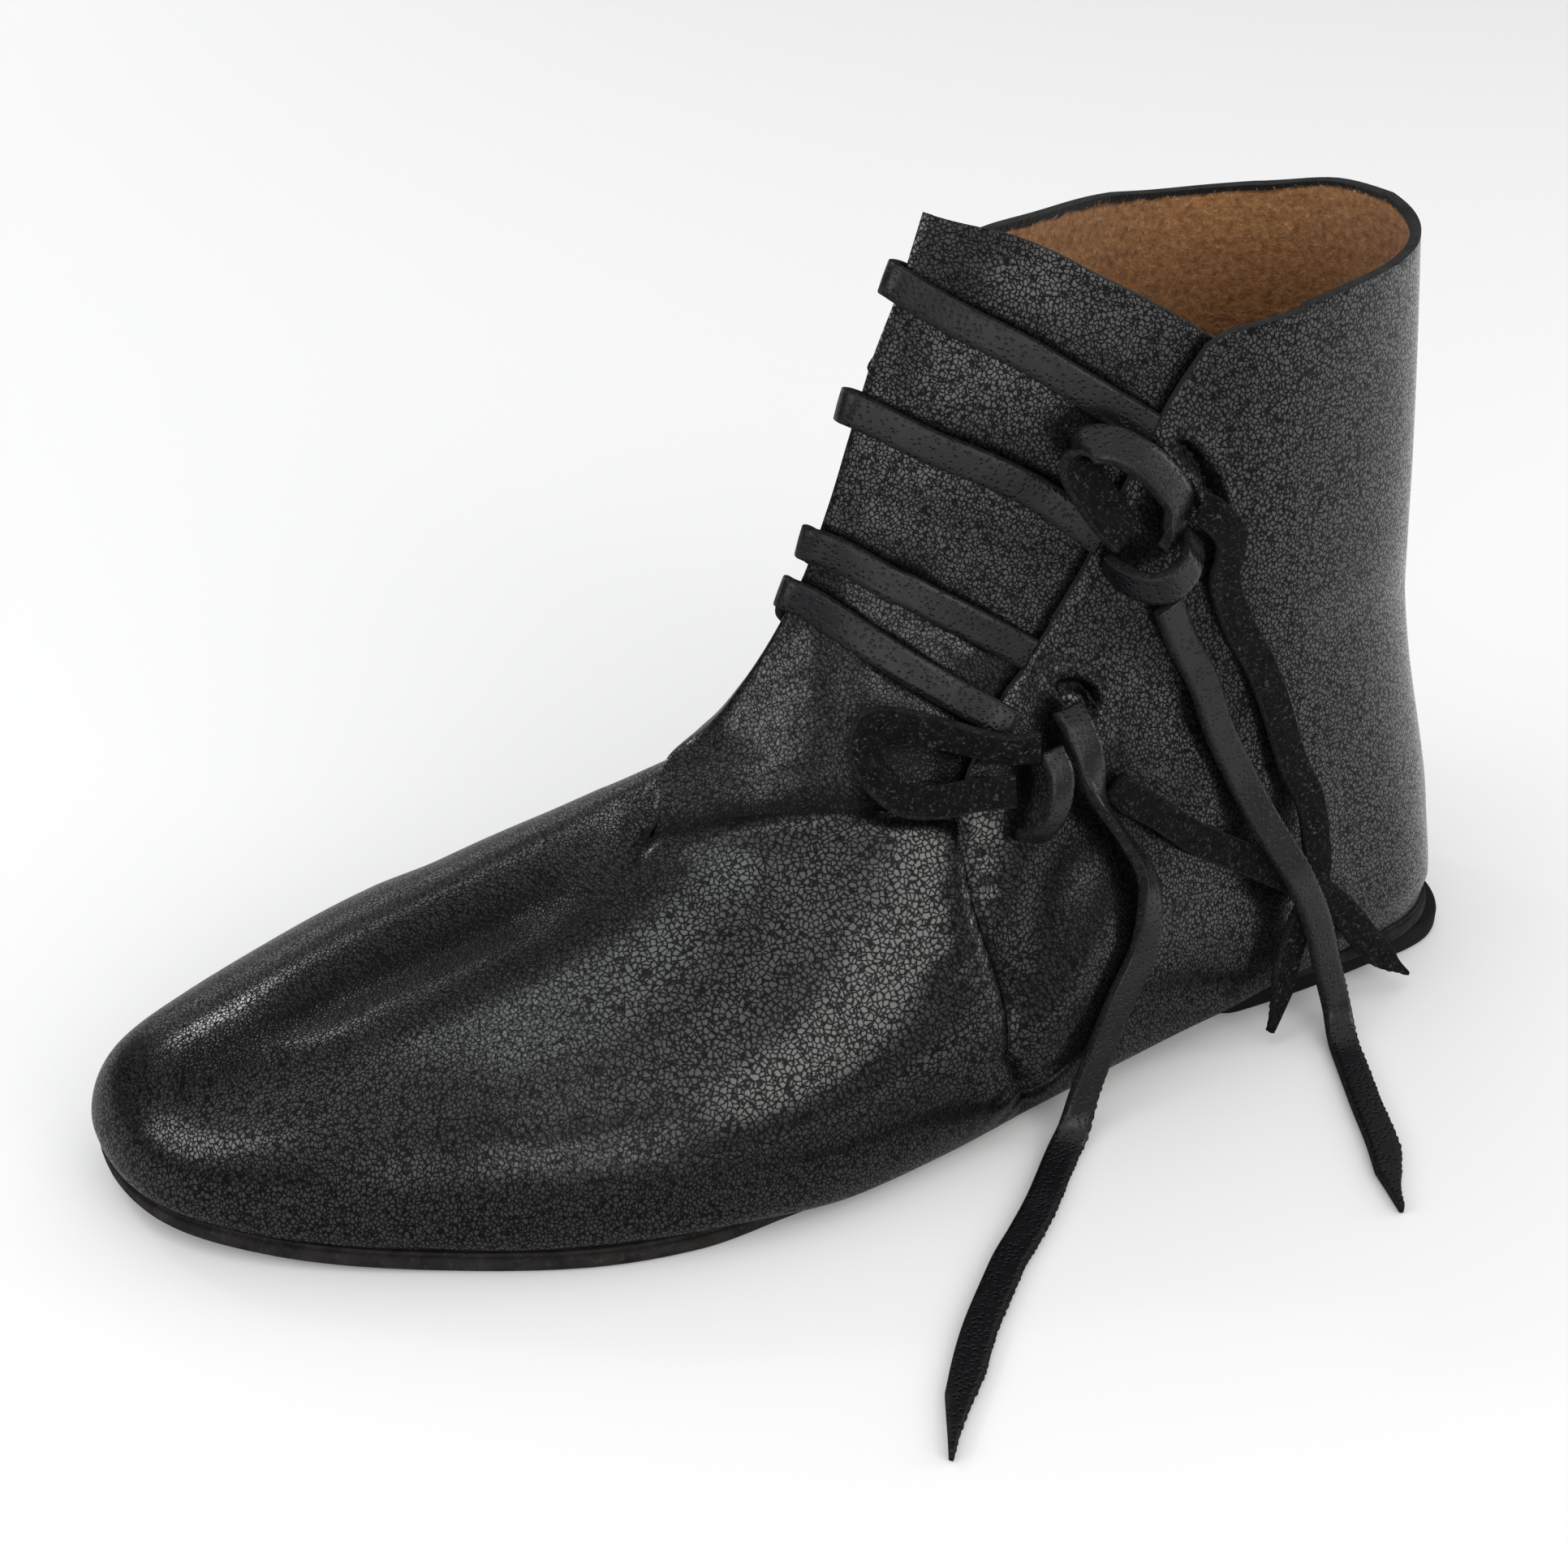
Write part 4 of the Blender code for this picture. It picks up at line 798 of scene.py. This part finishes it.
flapSet = {"rows": 120, "columns": 104, "under": -0.035, "tuckDepth": 2.6, "tuckSpan": (-0.01, 0.07),
           "tuckAcross": (0.02, 0.16), "press": -0.45, "pressWidth": 4.2, "pressReach": 14.0, "puff": 0.25,
           "puffAt": 8.0, "puffWidth": 3.5, "pressEnds": (0.43, 0.475), "wander": (0.25, 9.0, 2.3), "underDepth": 0.7,
           "freeSpan": (0.0, 0.03), "fadeRound": (0.5, 0.9), "fadeShare": (-0.02, 0.05), "coarse": 0.35,
           "coarseSpan": (0.1, 0.4), "shade": 0.8, "shadeSpan": (0.0, 0.032), "dyeRound": (0.40, 0.45),
           "dyeFoot": (0.02, 0.08), "bevel": 0.3, "slitGap": 0.012, "riseLoss": 0.037, "leastRise": 0.01,
           "crestAt": 0.5, "crestWidth": 0.026, "besideSpan": (0.44, 0.46, 0.64, 0.74)}


def seamRows(around):
    return np.where(around <= slitRound, softRead(sideSeam, around),
                    np.where(around <= cornerRound, softRead(flapSeam, around),
                             softRead(innerLine, around)))


def collarRows(around):
    return np.where(around <= collarSplit, softRead(collarOuter, around),
                    softRead(collarInner, around))


def edgeAt(edge, ends, row):
    # round of a cut edge at a row between its ends
    return softRead(edge, np.clip((row - ends[0]) / (ends[1] - ends[0]), 0.0, 1.0))


def flapLift(row, around):
    # flap's face over the skin: under the outer quarter, then rising over the inner one
    slit, inner = edgeAt(slitEdge, slitRows, row), edgeAt(innerEdge, innerRows, row)
    way = np.maximum(inner - slit - flapSet["riseLoss"], flapSet["leastRise"])
    rise = ease(0.0, 1.0, (around - slit - flapSet["slitGap"]) / way)
    low = -(last["wall"] + last["foldGap"])
    high = last["flap"] + last["foldGap"] - softRead(flapSunk, row)
    return low + (high - low) * rise + last["foldCrest"] * bell(around - flapSet["crestAt"], flapSet["crestWidth"])


def quarterSink(row, around):
    # the inner quarter lies deeper where the flap folds over it
    return -span(flapSet["besideSpan"], around) * softRead(flapSunk, row)


# bars of the thongs across the flap

barRoutes = {  # row and round from under or over the slit's edge, across the flap to the inner quarter
    "thong_bar_1": {"round": (0.332, 0.356, 0.379, 0.4065, 0.4376, 0.512, 0.57, 0.63, 0.69),
                    "row": (11.60, 11.68, 11.77, 11.87, 11.94, 12.1, 12.0, 11.9, 11.85), "over": False},
    "thong_bar_2": {"round": (0.362, 0.376, 0.393, 0.4155, 0.446, 0.508, 0.57, 0.63, 0.69),
                    "row": (10.58, 10.61, 10.61, 10.55, 10.45, 10.4, 10.4, 10.4, 10.4), "over": True},
    "thong_bar_3": {"round": (0.324, 0.342, 0.367, 0.39, 0.4113, 0.522, 0.58, 0.64, 0.70),
                    "row": (9.06, 8.98, 8.88, 8.8, 8.72, 8.54, 8.5, 8.5, 8.5), "over": False},
    "thong_bar_4": {"round": (0.305, 0.33, 0.353, 0.38, 0.422, 0.532, 0.58, 0.64, 0.70),
                    "row": (8.33, 8.26, 8.19, 8.11, 8.03, 7.88, 7.8, 7.8, 7.8), "over": True},
}
barSet = {"step": 1.0, "clear": 0.5, "crest": 0.8, "crestWidth": 0.03, "tuck": 2.6, "tuckRun": 6.0, "edge": 1.6,
          "edgeSpan": (0.0, 0.03), "folded": (0.55, 0.09), "foldedRows": (5.5, 8.5), "offFlap": (0.012, 0.05)}
barLines = {}


def makeBar(name, seed):
    # strap carried over the flap at its lift; it dips under or climbs over the slit's edge at one end
    # and goes into a slot of the inner quarter at the other
    route = barRoutes[name]
    fine, at = evenly(np.column_stack([skin(route["row"], route["round"]), route["row"], route["round"]]),
                      barSet["step"])
    row, around = fine[:, 3], fine[:, 4]
    folded = barSet["folded"][0] + barSet["folded"][1] * ease(*barSet["foldedRows"], row)
    leaves, left = barSet["offFlap"]
    offFlap = ease(folded + leaves, folded + left, around)
    lift = flapLift(row, around) * (1 - offFlap) + quarterSink(row, around) * offFlap
    lift = lift + barSet["crest"] * bell(around - flapSet["crestAt"], barSet["crestWidth"])
    lift = lift + last["gap"] + barSet["clear"] + last["thong"] / 2
    near = 1 - ease(*barSet["edgeSpan"], around - edgeAt(slitEdge, slitRows, row))
    lift = lift * (1 - near) + (barSet["edge"] if route["over"] else -barSet["edge"]) * near
    lift = lift - barSet["tuck"] * ease(at[-1] - barSet["tuckRun"], at[-1], at)
    face = outward(row, around)
    middle = barLines[name] = skin(row, around) + lift[:, None] * face
    side = np.cross(unit(np.gradient(middle, axis=0)), face)
    strapPiece(name, middle, side, *strapBody(at, last["thongWidth"], seed))


for number, barName in enumerate(barRoutes):
    makeBar(barName, 0.5 + 1.3 * number)
print("bars laid")

# upper: one hollow piece, with its creases, seams and slots

upperSet = {"toeRows": 9, "vampRows": 116, "vampEase": 1.25, "heelRows": 78, "heelEase": 1.5, "shaftRows": 74,
            "seamEase": 2.5, "outerColumns": 74, "seamColumns": 44, "innerColumns": 48, "bevel": 0.3, "weld": 4e-6,
            "wander": (0.35, 13.0, 0.7), "edgeFade": (0.0, 0.05, 0.95, 1.0), "toeFade": (0.15, 0.8),
            "heelTuck": 1.2, "tuckRows": (8.2, 8.9, 9.9, 10.8), "tuckRound": (0.0, 0.10),
            "overhang": 2.4, "overRows": (4.5, 5.4, 7.7, 8.5), "overRound": (0.0, 0.12),
            "heelDrop": 1.8, "dropRows": (8.7, 9.2, 9.8, 10.4), "dropRound": (0.0, 0.06),
            "coarseRows": (2.2, 5.2, 6.6, 8.6), "coarseRound": (0.1, 0.22, 0.36, 0.47), "coarseSeam": 0.8,
            "dye": (0.6, 2.2), "dyeRagged": (0.35, 2.2, 1.9)}
upperFolds = {  # soft troughs and ridges: row and round along them, half width and height in millimetres; dull: painted shade along the bottom
    "toeHollow": {"row": (1.4, 1.69, 2.31, 2.96), "round": (0.452, 0.442, 0.442, 0.452),
                  "width": 6.5, "height": -0.3, "dull": 0.8},
    "vampTrough": {"row": (1.95, 2.31, 2.96, 3.69, 4.28, 4.8),
                   "round": (0.44, 0.442, 0.452, 0.452, 0.447, 0.447), "width": 7.0, "height": -1.6,
                   "dull": 0.75},
    "vampBand": {"row": (2.09, 2.72, 3.32, 4.11, 4.83, 5.6),
                 "round": (0.345, 0.366, 0.380, 0.385, 0.390, 0.386), "width": 8.0, "height": 0.7},
    "lowHollow": {"row": (1.58, 1.97, 2.54, 3.19, 3.9),
                  "round": (0.238, 0.2, 0.172, 0.153, 0.144), "width": 9.0, "height": -0.25},
    "ballSwell": {"row": (2.89, 3.35, 4.02, 4.77), "round": (0.254, 0.251, 0.243, 0.24), "width": 12.0,
                  "height": 0.5},
    "waistValley": {"row": (8.42, 7.89, 7.36, 6.97, 6.83), "round": (0.254, 0.235, 0.205, 0.177, 0.133),
                    "width": 7.5, "height": -1.5, "dull": 0.4},
    "seamBulge": {"row": (6.93, 6.8, 6.6), "round": (0.31, 0.272, 0.227), "width": 8.0, "height": 0.5},
    "knotValley": {"row": (10.07, 9.68, 9.21, 8.84), "round": (0.352, 0.338, 0.257, 0.2), "width": 6.5,
                   "height": -1.0},
    "ankleCrease": {"row": (11.2, 11.12, 10.89, 10.46), "round": (0.05, 0.151, 0.214, 0.267), "width": 6.0,
                    "height": -0.7},
    "heelFold": {"row": (7.96, 8.35, 8.84, 9.26), "round": (0.16, 0.153, 0.147, 0.162), "width": 7.0,
                 "height": -0.6},
    "tailHollow": {"row": (10.67, 10.09, 9.43, 8.97), "round": (0.286, 0.274, 0.226, 0.109), "width": 9.0,
                   "height": -0.5},
    "innerWaist": {"row": (8.6, 7.8, 7.1, 6.6), "round": (0.72, 0.76, 0.82, 0.88), "width": 9.0, "height": -1.1},
    "innerAnkle": {"row": (11.2, 10.9, 10.4), "round": (0.9, 0.82, 0.74), "width": 7.0, "height": -0.7},
    "innerBall": {"row": (3.4, 4.2, 5.1), "round": (0.66, 0.68, 0.70), "width": 9.0, "height": -0.6},
}
foldSet = {"reach": 3.2, "fade": (0.0, 0.3, 0.7, 1.0), "shadeFade": (0.0, 0.1, 0.8, 1.0)}
seamSet = {"points": 70, "reach": 16.0, "groove": -1.5, "grooveWidth": 1.1, "dip": -0.9, "dipWidth": 4.5,
           "shallow": 0.55, "start": (0.0, 0.12), "end": (0.75, 1.0), "endLoss": 0.55, "pucker": 0.34,
           "puckerStep": 4.6, "puckerAt": 2.2, "puckerReach": 6.0, "drift": (0.35, 6.1), "skew": 0.22,
           "stagger": 0.21, "front": 0.7, "uneven": (0.4, 5.3, 0.8, 2.9),
           "nearWidth": 14.0, "shade": 0.9, "shadeWidth": 1.2}
lipSet = {"reach": 12.0, "roll": -0.6, "rollWidth": 1.6, "swell": 0.2, "swellAt": 4.0, "swellWidth": 2.6,
          "row": (5.24, 5.17, 5.05, 4.9), "round": (0.452, 0.447, 0.437, 0.425), "points": 30, "notchReach": 8.0,
          "notch": -0.8, "notchWidth": 1.4, "notchFade": (0.3, 1.0), "shade": 0.75, "notchShade": 0.9}
loopSet = {"line": ((139.7, 20.8, 73.3), (128.0, 25.5, 71.2), (116.3, 30.2, 69.2)), "reach": 16.0, "width": 7.5,
           "shade": 0.8}
slots = {  # where the thongs come through: row and round along the cut
    "upperSlot": {"row": (11.62, 11.54, 11.42, 11.28), "round": (0.328, 0.321, 0.315, 0.311)},
    "lowerSlot": {"row": (8.96, 9.10, 9.05, 8.90), "round": (0.302, 0.304, 0.292, 0.278)},
    "innerSlot1": {"row": (11.6, 12.1), "round": (0.694, 0.694)},
    "innerSlot2": {"row": (10.15, 10.65), "round": (0.694, 0.694)},
    "innerSlot3": {"row": (8.28, 8.72), "round": (0.704, 0.704)},
    "innerSlot4": {"row": (7.6, 8.0), "round": (0.704, 0.704)},
}
slotSet = {"points": 24, "reach": 9.0, "depth": -1.5, "width": 1.0, "lip": 0.5, "lipAt": 2.4, "lipWidth": 1.2,
           "shadeWidth": 1.5}


def wander(points, size, seed):
    # gentle unevenness of worn leather: four crossed waves
    p = points / size
    return (np.sin(p[..., 0] + 1.3 * p[..., 1] + seed) + np.sin(1.7 * p[..., 1] - 0.8 * p[..., 2] + 2 * seed)
            + np.sin(0.9 * p[..., 2] + 1.4 * p[..., 0] + 3 * seed) + np.sin(2.1 * p[..., 0] - p[..., 1] - seed)) / 4


def foldRelief(points, folds):
    # each fold is a bell across its line that fades out at both ends; a dull one gets painted shade along its bottom,
    # with no polish there
    relief, shade = np.zeros(points.shape[:-1]), np.zeros(points.shape[:-1])
    for fold in folds.values():
        away, share, long = nearSkinLine(points, fold, foldSet["reach"] * fold["width"])
        across = bell(away, fold["width"])
        relief += fold["height"] * span(foldSet["fade"], share) * across
        # painted shade in the bottom of the dull folds
        shade = np.maximum(shade, fold.get("dull", 0.0) * span(foldSet["shadeFade"], share) * across)
    return relief, shade


def seamRelief(points, row, around):
    # a groove in a soft dip along the side seam, with small uneven puckers across it and painted shade down the
    # groove
    own, (drift, driftStep) = seamSet, seamSet["drift"]
    away, share, long = nearSkinLine(points, sideSeam, own["reach"], own["points"])
    along = share * long
    deep = own["shallow"] + (1 - own["shallow"]) * np.sin(np.pi * share) ** 2
    relief = deep * (own["groove"] * bell(away, own["grooveWidth"]) + own["dip"] * bell(away, own["dipWidth"]))
    behind = row > seamRows(around)
    phase = (along + own["skew"] * away) / own["puckerStep"] + drift * np.sin(along / driftStep)
    ripple = np.sin(2 * np.pi * (phase + own["stagger"] * behind)) * bell(away - own["puckerAt"], own["puckerReach"])
    loss, slow, shift, quick = own["uneven"]
    uneven = 1 - loss + loss * np.sin(along / slow + shift) * np.sin(along / quick)
    ends = ease(*own["start"], share) * (1 - own["endLoss"] * ease(*own["end"], share))
    relief += own["pucker"] * ends * uneven * ripple * np.where(behind, 1.0, own["front"])
    return relief, own["shade"] * deep * bell(away, own["shadeWidth"]), bell(away, own["nearWidth"])


def lipRelief(points):
    # the vamp's edge rolls down where the flap is sewn to it, with a notch at the corner; painted shade lies on the
    # roll and in the notch
    own = lipSet
    away = nearSkinLine(points, flapSeam, own["reach"], seamSet["points"])[0]
    roll = bell(away, own["rollWidth"])
    gap, share, long = nearSkinLine(points, own, own["notchReach"], own["points"])
    notch = bell(gap, own["notchWidth"]) * (1 - ease(*own["notchFade"], share))
    swell = own["swell"] * bell(away - own["swellAt"], own["swellWidth"])
    shade = np.maximum(own["shade"] * roll, own["notchShade"] * notch)
    return own["roll"] * roll + swell + own["notch"] * notch, shade


def loopShade(points):
    # painted shade on the leather behind the lower loop, which also keeps polish off it
    away = nearPath(points, np.asarray(loopSet["line"]), loopSet["reach"])[0]
    return loopSet["shade"] * bell(away, loopSet["width"], 4)


def slotRelief(points):
    # each slot is a narrow trench with a raised lip round it, and painted shade in the trench
    relief, shade = np.zeros(points.shape[:-1]), np.zeros(points.shape[:-1])
    for slot in slots.values():
        away = nearSkinLine(points, slot, slotSet["reach"], slotSet["points"])[0]
        relief += slotSet["depth"] * bell(away, slotSet["width"])
        relief += slotSet["lip"] * bell(away - slotSet["lipAt"], slotSet["lipWidth"])
        shade = np.maximum(shade, bell(away, slotSet["shadeWidth"], 4))
    return relief, shade


def upperGrid():
    # rows of points from the toe's tip to the collar, columns from the outer feather to the inner
    def parts(key):
        return np.linspace(0.0, 1.0, upperSet[key] + 1)

    tip = toeCloses * parts("toeRows")[:-1]
    below = np.concatenate([tip, toeCloses + (seamRow - toeCloses) * parts("vampRows") ** upperSet["vampEase"]])
    heelShare = (heelCloses - seamRow) / (lastRow - seamRow)
    seat = heelShare * (1 - (1 - parts("heelRows")) ** upperSet["heelEase"])
    above = np.concatenate([seat[1:], heelShare + (1 - heelShare) * parts("shaftRows")[1:]])
    shares = np.concatenate([np.zeros(len(below)), above])
    slit = np.where(shares > 0, softRead(slitEdge, shares), slitRound)[:, None]
    inner = np.where(shares > 0, softRead(innerEdge, shares), cornerRound)[:, None]

    def across(slit, inner):
        return np.hstack([slit * parts("outerColumns")[:-1], slit + (inner - slit) * parts("seamColumns"),
                          inner + (1 - inner) * parts("innerColumns")[1:]])

    rounds = across(slit, inner)
    seam, collar = seamRows(across(slitRound, cornerRound)), collarRows(rounds[-1])
    lower = below[:, None] + (seam - seamRow) * (below / seamRow)[:, None] ** upperSet["seamEase"]
    upper = seam + (collar - seam) * above[:, None]
    return np.vstack([lower, upper]), rounds, len(below) - 1


def makeUpper():
    # skin of the last moved along its normal by the sum of its folds, seams, slots and unevenness
    own = upperSet
    row, around, seamAt = upperGrid()
    bare = skin(row, around)
    puckers, seamShade, nearSeam = seamRelief(bare, row, around)
    parts = [foldRelief(bare, upperFolds), (puckers, seamShade), lipRelief(bare), slotRelief(bare)]
    # painted shade from the dull folds, the seam groove, the lip, the slots and behind the lower loop
    shade = np.maximum.reduce([part[1] for part in parts] + [loopShade(bare)])
    size, *waves = own["wander"]
    relief = sum(part[0] for part in parts) + size * wander(bare, *waves)
    relief = relief * span(own["edgeFade"], around) * ease(*own["toeFade"], row)
    sides = np.minimum(around, 1 - around)
    relief = relief - own["heelTuck"] * span(own["tuckRows"], row) * (1 - ease(*own["tuckRound"], sides))
    points = bare + (quarterSink(row, around) + relief)[..., None] * outward(row, around)
    # the leather bulges down over the sole's edge at the waist and closes on the sole at the back seam
    points[..., 2] -= own["overhang"] * span(own["overRows"], row) * (1 - ease(*own["overRound"], sides))
    points[..., 2] -= own["heelDrop"] * span(own["dropRows"], row) * (1 - ease(*own["dropRound"], sides))
    coarse = span(own["coarseRows"], row) * span(own["coarseRound"], around) + own["coarseSeam"] * nearSeam
    # the dye runs over the cut edge to an uneven depth inside
    steps = np.linalg.norm(np.diff(points, axis=0), axis=2)[::-1]
    fromTop = np.vstack([np.cumsum(steps, axis=0)[::-1], np.zeros(row.shape[1])])
    ragged, *waves = own["dyeRagged"]
    rim = 1 - ease(*own["dye"], fromTop + ragged * wander(bare, *waves))
    quads = gridQuads(*row.shape)
    r, c = np.divmod(np.arange(len(quads)), row.shape[1] - 1)
    window = (r >= seamAt) & (c >= own["outerColumns"]) & (c < own["outerColumns"] + own["seamColumns"])
    piece = makePiece("upper_leather", points, quads[~window].tolist(), (upperLeather, tanSuede, rawEdge),
                      values={"coarse": np.clip(coarse, 0, 1), "shade": shade, "rim": rim}, weld=own["weld"])
    addWall(piece, last["wall"], own["bevel"])
    return settle(piece, "upper")


upper = makeUpper()
print("upper made:", len(upper.data.polygons), "faces on its outer side")

# front flap

flapFolds = {
    "baseWrinkle1": {"row": (5.75, 6.21, 6.70), "round": (0.45, 0.416, 0.374), "width": 1.5, "height": -0.5},
    "baseWrinkle2": {"row": (5.86, 6.37, 6.80), "round": (0.462, 0.427, 0.386), "width": 1.7, "height": -0.45},
    "baseWrinkle3": {"row": (6.02, 6.56, 7.02), "round": (0.468, 0.434, 0.392), "width": 1.6, "height": -0.4},
    "baseWrinkle4": {"row": (6.35, 6.80, 7.2), "round": (0.462, 0.436, 0.404), "width": 1.8, "height": -0.4},
    "baseWrinkle5": {"row": (6.5, 7.0, 7.5), "round": (0.48, 0.452, 0.42), "width": 2.0, "height": -0.35},
    "sideHollow": {"row": (7.4, 8.4, 9.4), "round": (0.36, 0.385, 0.392), "width": 6.0, "height": -0.8},
}


def makeFlap():
    # skin at the flap's lift, its foot drawn under the vamp's lip, pressed in under each bar
    own = flapSet
    share, across = np.meshgrid(np.linspace(own["under"], 1, own["rows"]), np.linspace(0, 1, own["columns"]),
                                indexing="ij")
    held = np.clip(share, 0, 1)
    tucked, folded = softRead(flapTucked, held), softRead(flapFolded, held)
    around = tucked + (folded - tucked) * across
    foot, top = softRead(flapFoot, across), softRead(flapTop, across)
    row = foot + (top - foot) * share
    under = (1 - ease(*own["tuckSpan"], share)) * ease(*own["tuckAcross"], across)
    lift = flapLift(row, around) * (1 - under) - own["tuckDepth"] * under
    bare, face = skin(row, around), outward(row, around)
    lifted, pressed = bare + lift[..., None] * face, np.zeros(row.shape)
    for line in barLines.values():
        away = nearPath(lifted, line, own["pressReach"])[0]
        pressed += own["press"] * bell(away, own["pressWidth"])
        pressed += own["puff"] * bell(away - own["puffAt"], own["puffWidth"])
    pressed = pressed * (1 - ease(*own["pressEnds"], around))
    size, *waves = own["wander"]
    relief = foldRelief(bare, flapFolds)[0] + pressed + size * wander(bare, *waves)
    free = ease(*own["freeSpan"], around - edgeAt(slitEdge, slitRows, row))
    quarter = np.minimum(foldRelief(bare, upperFolds)[0], 0.0)  # whose folds it follows underneath
    relief = relief * free + (quarter - own["underDepth"]) * (1 - free)
    relief = relief * (1 - ease(*own["fadeRound"], around)) * ease(*own["fadeShare"], share)
    points = bare + (lift + relief)[..., None] * face
    coarse = own["coarse"] * (1 - ease(*own["coarseSpan"], share))
    # painted shade down in the seam and behind the loop, with no polish there; dyed through at the fold and the foot
    shade = np.maximum(own["shade"] * (1 - ease(*own["shadeSpan"], share)), loopShade(points))
    rim = np.maximum(ease(*own["dyeRound"], around), 1 - ease(*own["dyeFoot"], share))
    piece = makePiece("front_flap_leather", points, gridQuads(*row.shape).tolist(), (flapLeather, tanSuede, rawEdge),
                      values={"coarse": coarse, "shade": shade, "rim": rim})
    addWall(piece, last["flap"], own["bevel"])
    return settle(piece, "front_flap")


flap = makeFlap()
print("flap made")

# sole, heel lift and insole

soleMargin = {"x": (8.0, 14.0, 40.0, 75.0, 150.0, 178.0, 196.0, 215.0, 255.0, 285.0),
              "margin": (1.0, 0.5, -0.5, -3.0, -3.2, -1.6, 0.8, 1.4, 0.8, 0.2)}
liftMargin = {"x": (8.0, 14.0, 24.0, 34.0, 60.0, 69.0, 74.0), "margin": (4.0, 3.4, 0.0, -2.4, -3.6, -4.6, -8.0)}
insoleMargin = {"x": (0.0, 285.0), "margin": (-1.3, -1.3)}
soleSet = {"stations": 170, "weld": 1e-5, "sharp": 40.0, "even": 0.35,
           "rows": ((2.4, 0.0), (1.2, 0.02), (0.45, 0.30), (0.05, 0.95), (0.0, 1.7), (0.0, 2.5), (0.15, 2.95),
                    (0.5, 3.18), (0.85, 3.22), (0.9, 3.6), (0.9, 4.0))}
liftSet = {"stations": 110, "front": 74.0, "search": (7.5, 400), "ease": 1.7,
           "rows": ((1.8, 0.0), (0.8, 0.04), (0.2, 0.5), (0.0, 1.2), (0.0, 2.6), (0.0, 3.9), (0.2, 4.6), (0.7, 5.0))}
insoleSet = {"stations": 120, "toeGap": 0.18, "heelGap": 0.06, "clear": 0.1,
             "rows": ((0.5, 0.0), (0.0, 0.4), (0.0, 1.1), (0.5, 1.5))}
pointed = 1.0  # an end narrower than this closes in a point


def footprint(stations, margins, inset):
    # outer and inner edge of the plan: the feather line moved sideways by its margin
    edges = []
    for around, turn in ((0.0, 1.0), (1.0, -1.0)):
        line = skin(stations, around)[:, :2]
        apart = np.abs(line[:, 1] - skin(stations, 1.0 - around)[:, 1])
        along = unit(np.gradient(line, axis=0))
        for end, way in ((0, turn), (-1, -turn)):
            if apart[end] < pointed:
                along[end] = (0.0, way)
        side = turn * np.stack([along[:, 1], -along[:, 0]], -1)
        margin = softRead(margins, line[:, 0]) - inset
        edges.append(line + margin[:, None] * side)
    return edges


def layeredSole(name, stations, margins, own, bottom, finish):
    # edge profile carried down both sides of the plan, tops and bottoms bridged across
    sides = [], []
    for inset, up in own["rows"]:
        for side, line in zip(sides, footprint(stations, margins, inset)):
            side.append(np.column_stack([line, bottom(line[:, 0]) + up]))
    ring = np.stack(sides[0] + sides[1][::-1], 1)
    faces = gridQuads(*ring.shape[:2], ring=True).tolist()
    piece = makePiece(name, ring, faces, (finish,), weld=soleSet["weld"], close=True)
    piece.data.set_sharp_from_angle(angle=math.radians(soleSet["sharp"]))
    return piece


def stationsAlong(count, first, final):
    # partly even, partly closer together towards both ends
    share = np.linspace(0.0, 1.0, count)
    eased = 0.5 - 0.5 * np.cos(np.pi * share)
    return first + (final - first) * (soleSet["even"] * share + (1 - soleSet["even"]) * eased)


def soleBottom(x):
    return featherHeight(x) - last["gap"] - last["sole"]


def liftBottom(x):
    return 0.0 * x


def insoleBottom(x):
    return featherHeight(x) + insoleSet["clear"]


def liftStations():
    # from the row whose feather line stands at the lift's front, closer together towards the back
    low, count = liftSet["search"]
    seat = np.linspace(low, heelCloses, count)
    front = float(np.interp(-liftSet["front"], -skin(seat, 0.0)[:, 0], seat))
    return front + (heelCloses - front) * (1 - (1 - np.linspace(0, 1, liftSet["stations"])) ** liftSet["ease"])


sole = layeredSole("outsole_leather", stationsAlong(soleSet["stations"], toeCloses, heelCloses), soleMargin,
                   soleSet, soleBottom, soleLeather)
lift = layeredSole("heel_lift_rubber", liftStations(), liftMargin, liftSet, liftBottom, liftRubber)
insoleEnds = toeCloses + insoleSet["toeGap"], heelCloses - insoleSet["heelGap"]
insole = layeredSole("insole_leather", stationsAlong(insoleSet["stations"], *insoleEnds), insoleMargin,
                     insoleSet, insoleBottom, insoleLeather)
settle(sole, "outsole")
settle(lift, "heel_lift")
settle(insole, "insole")
print("sole, lift and insole made")
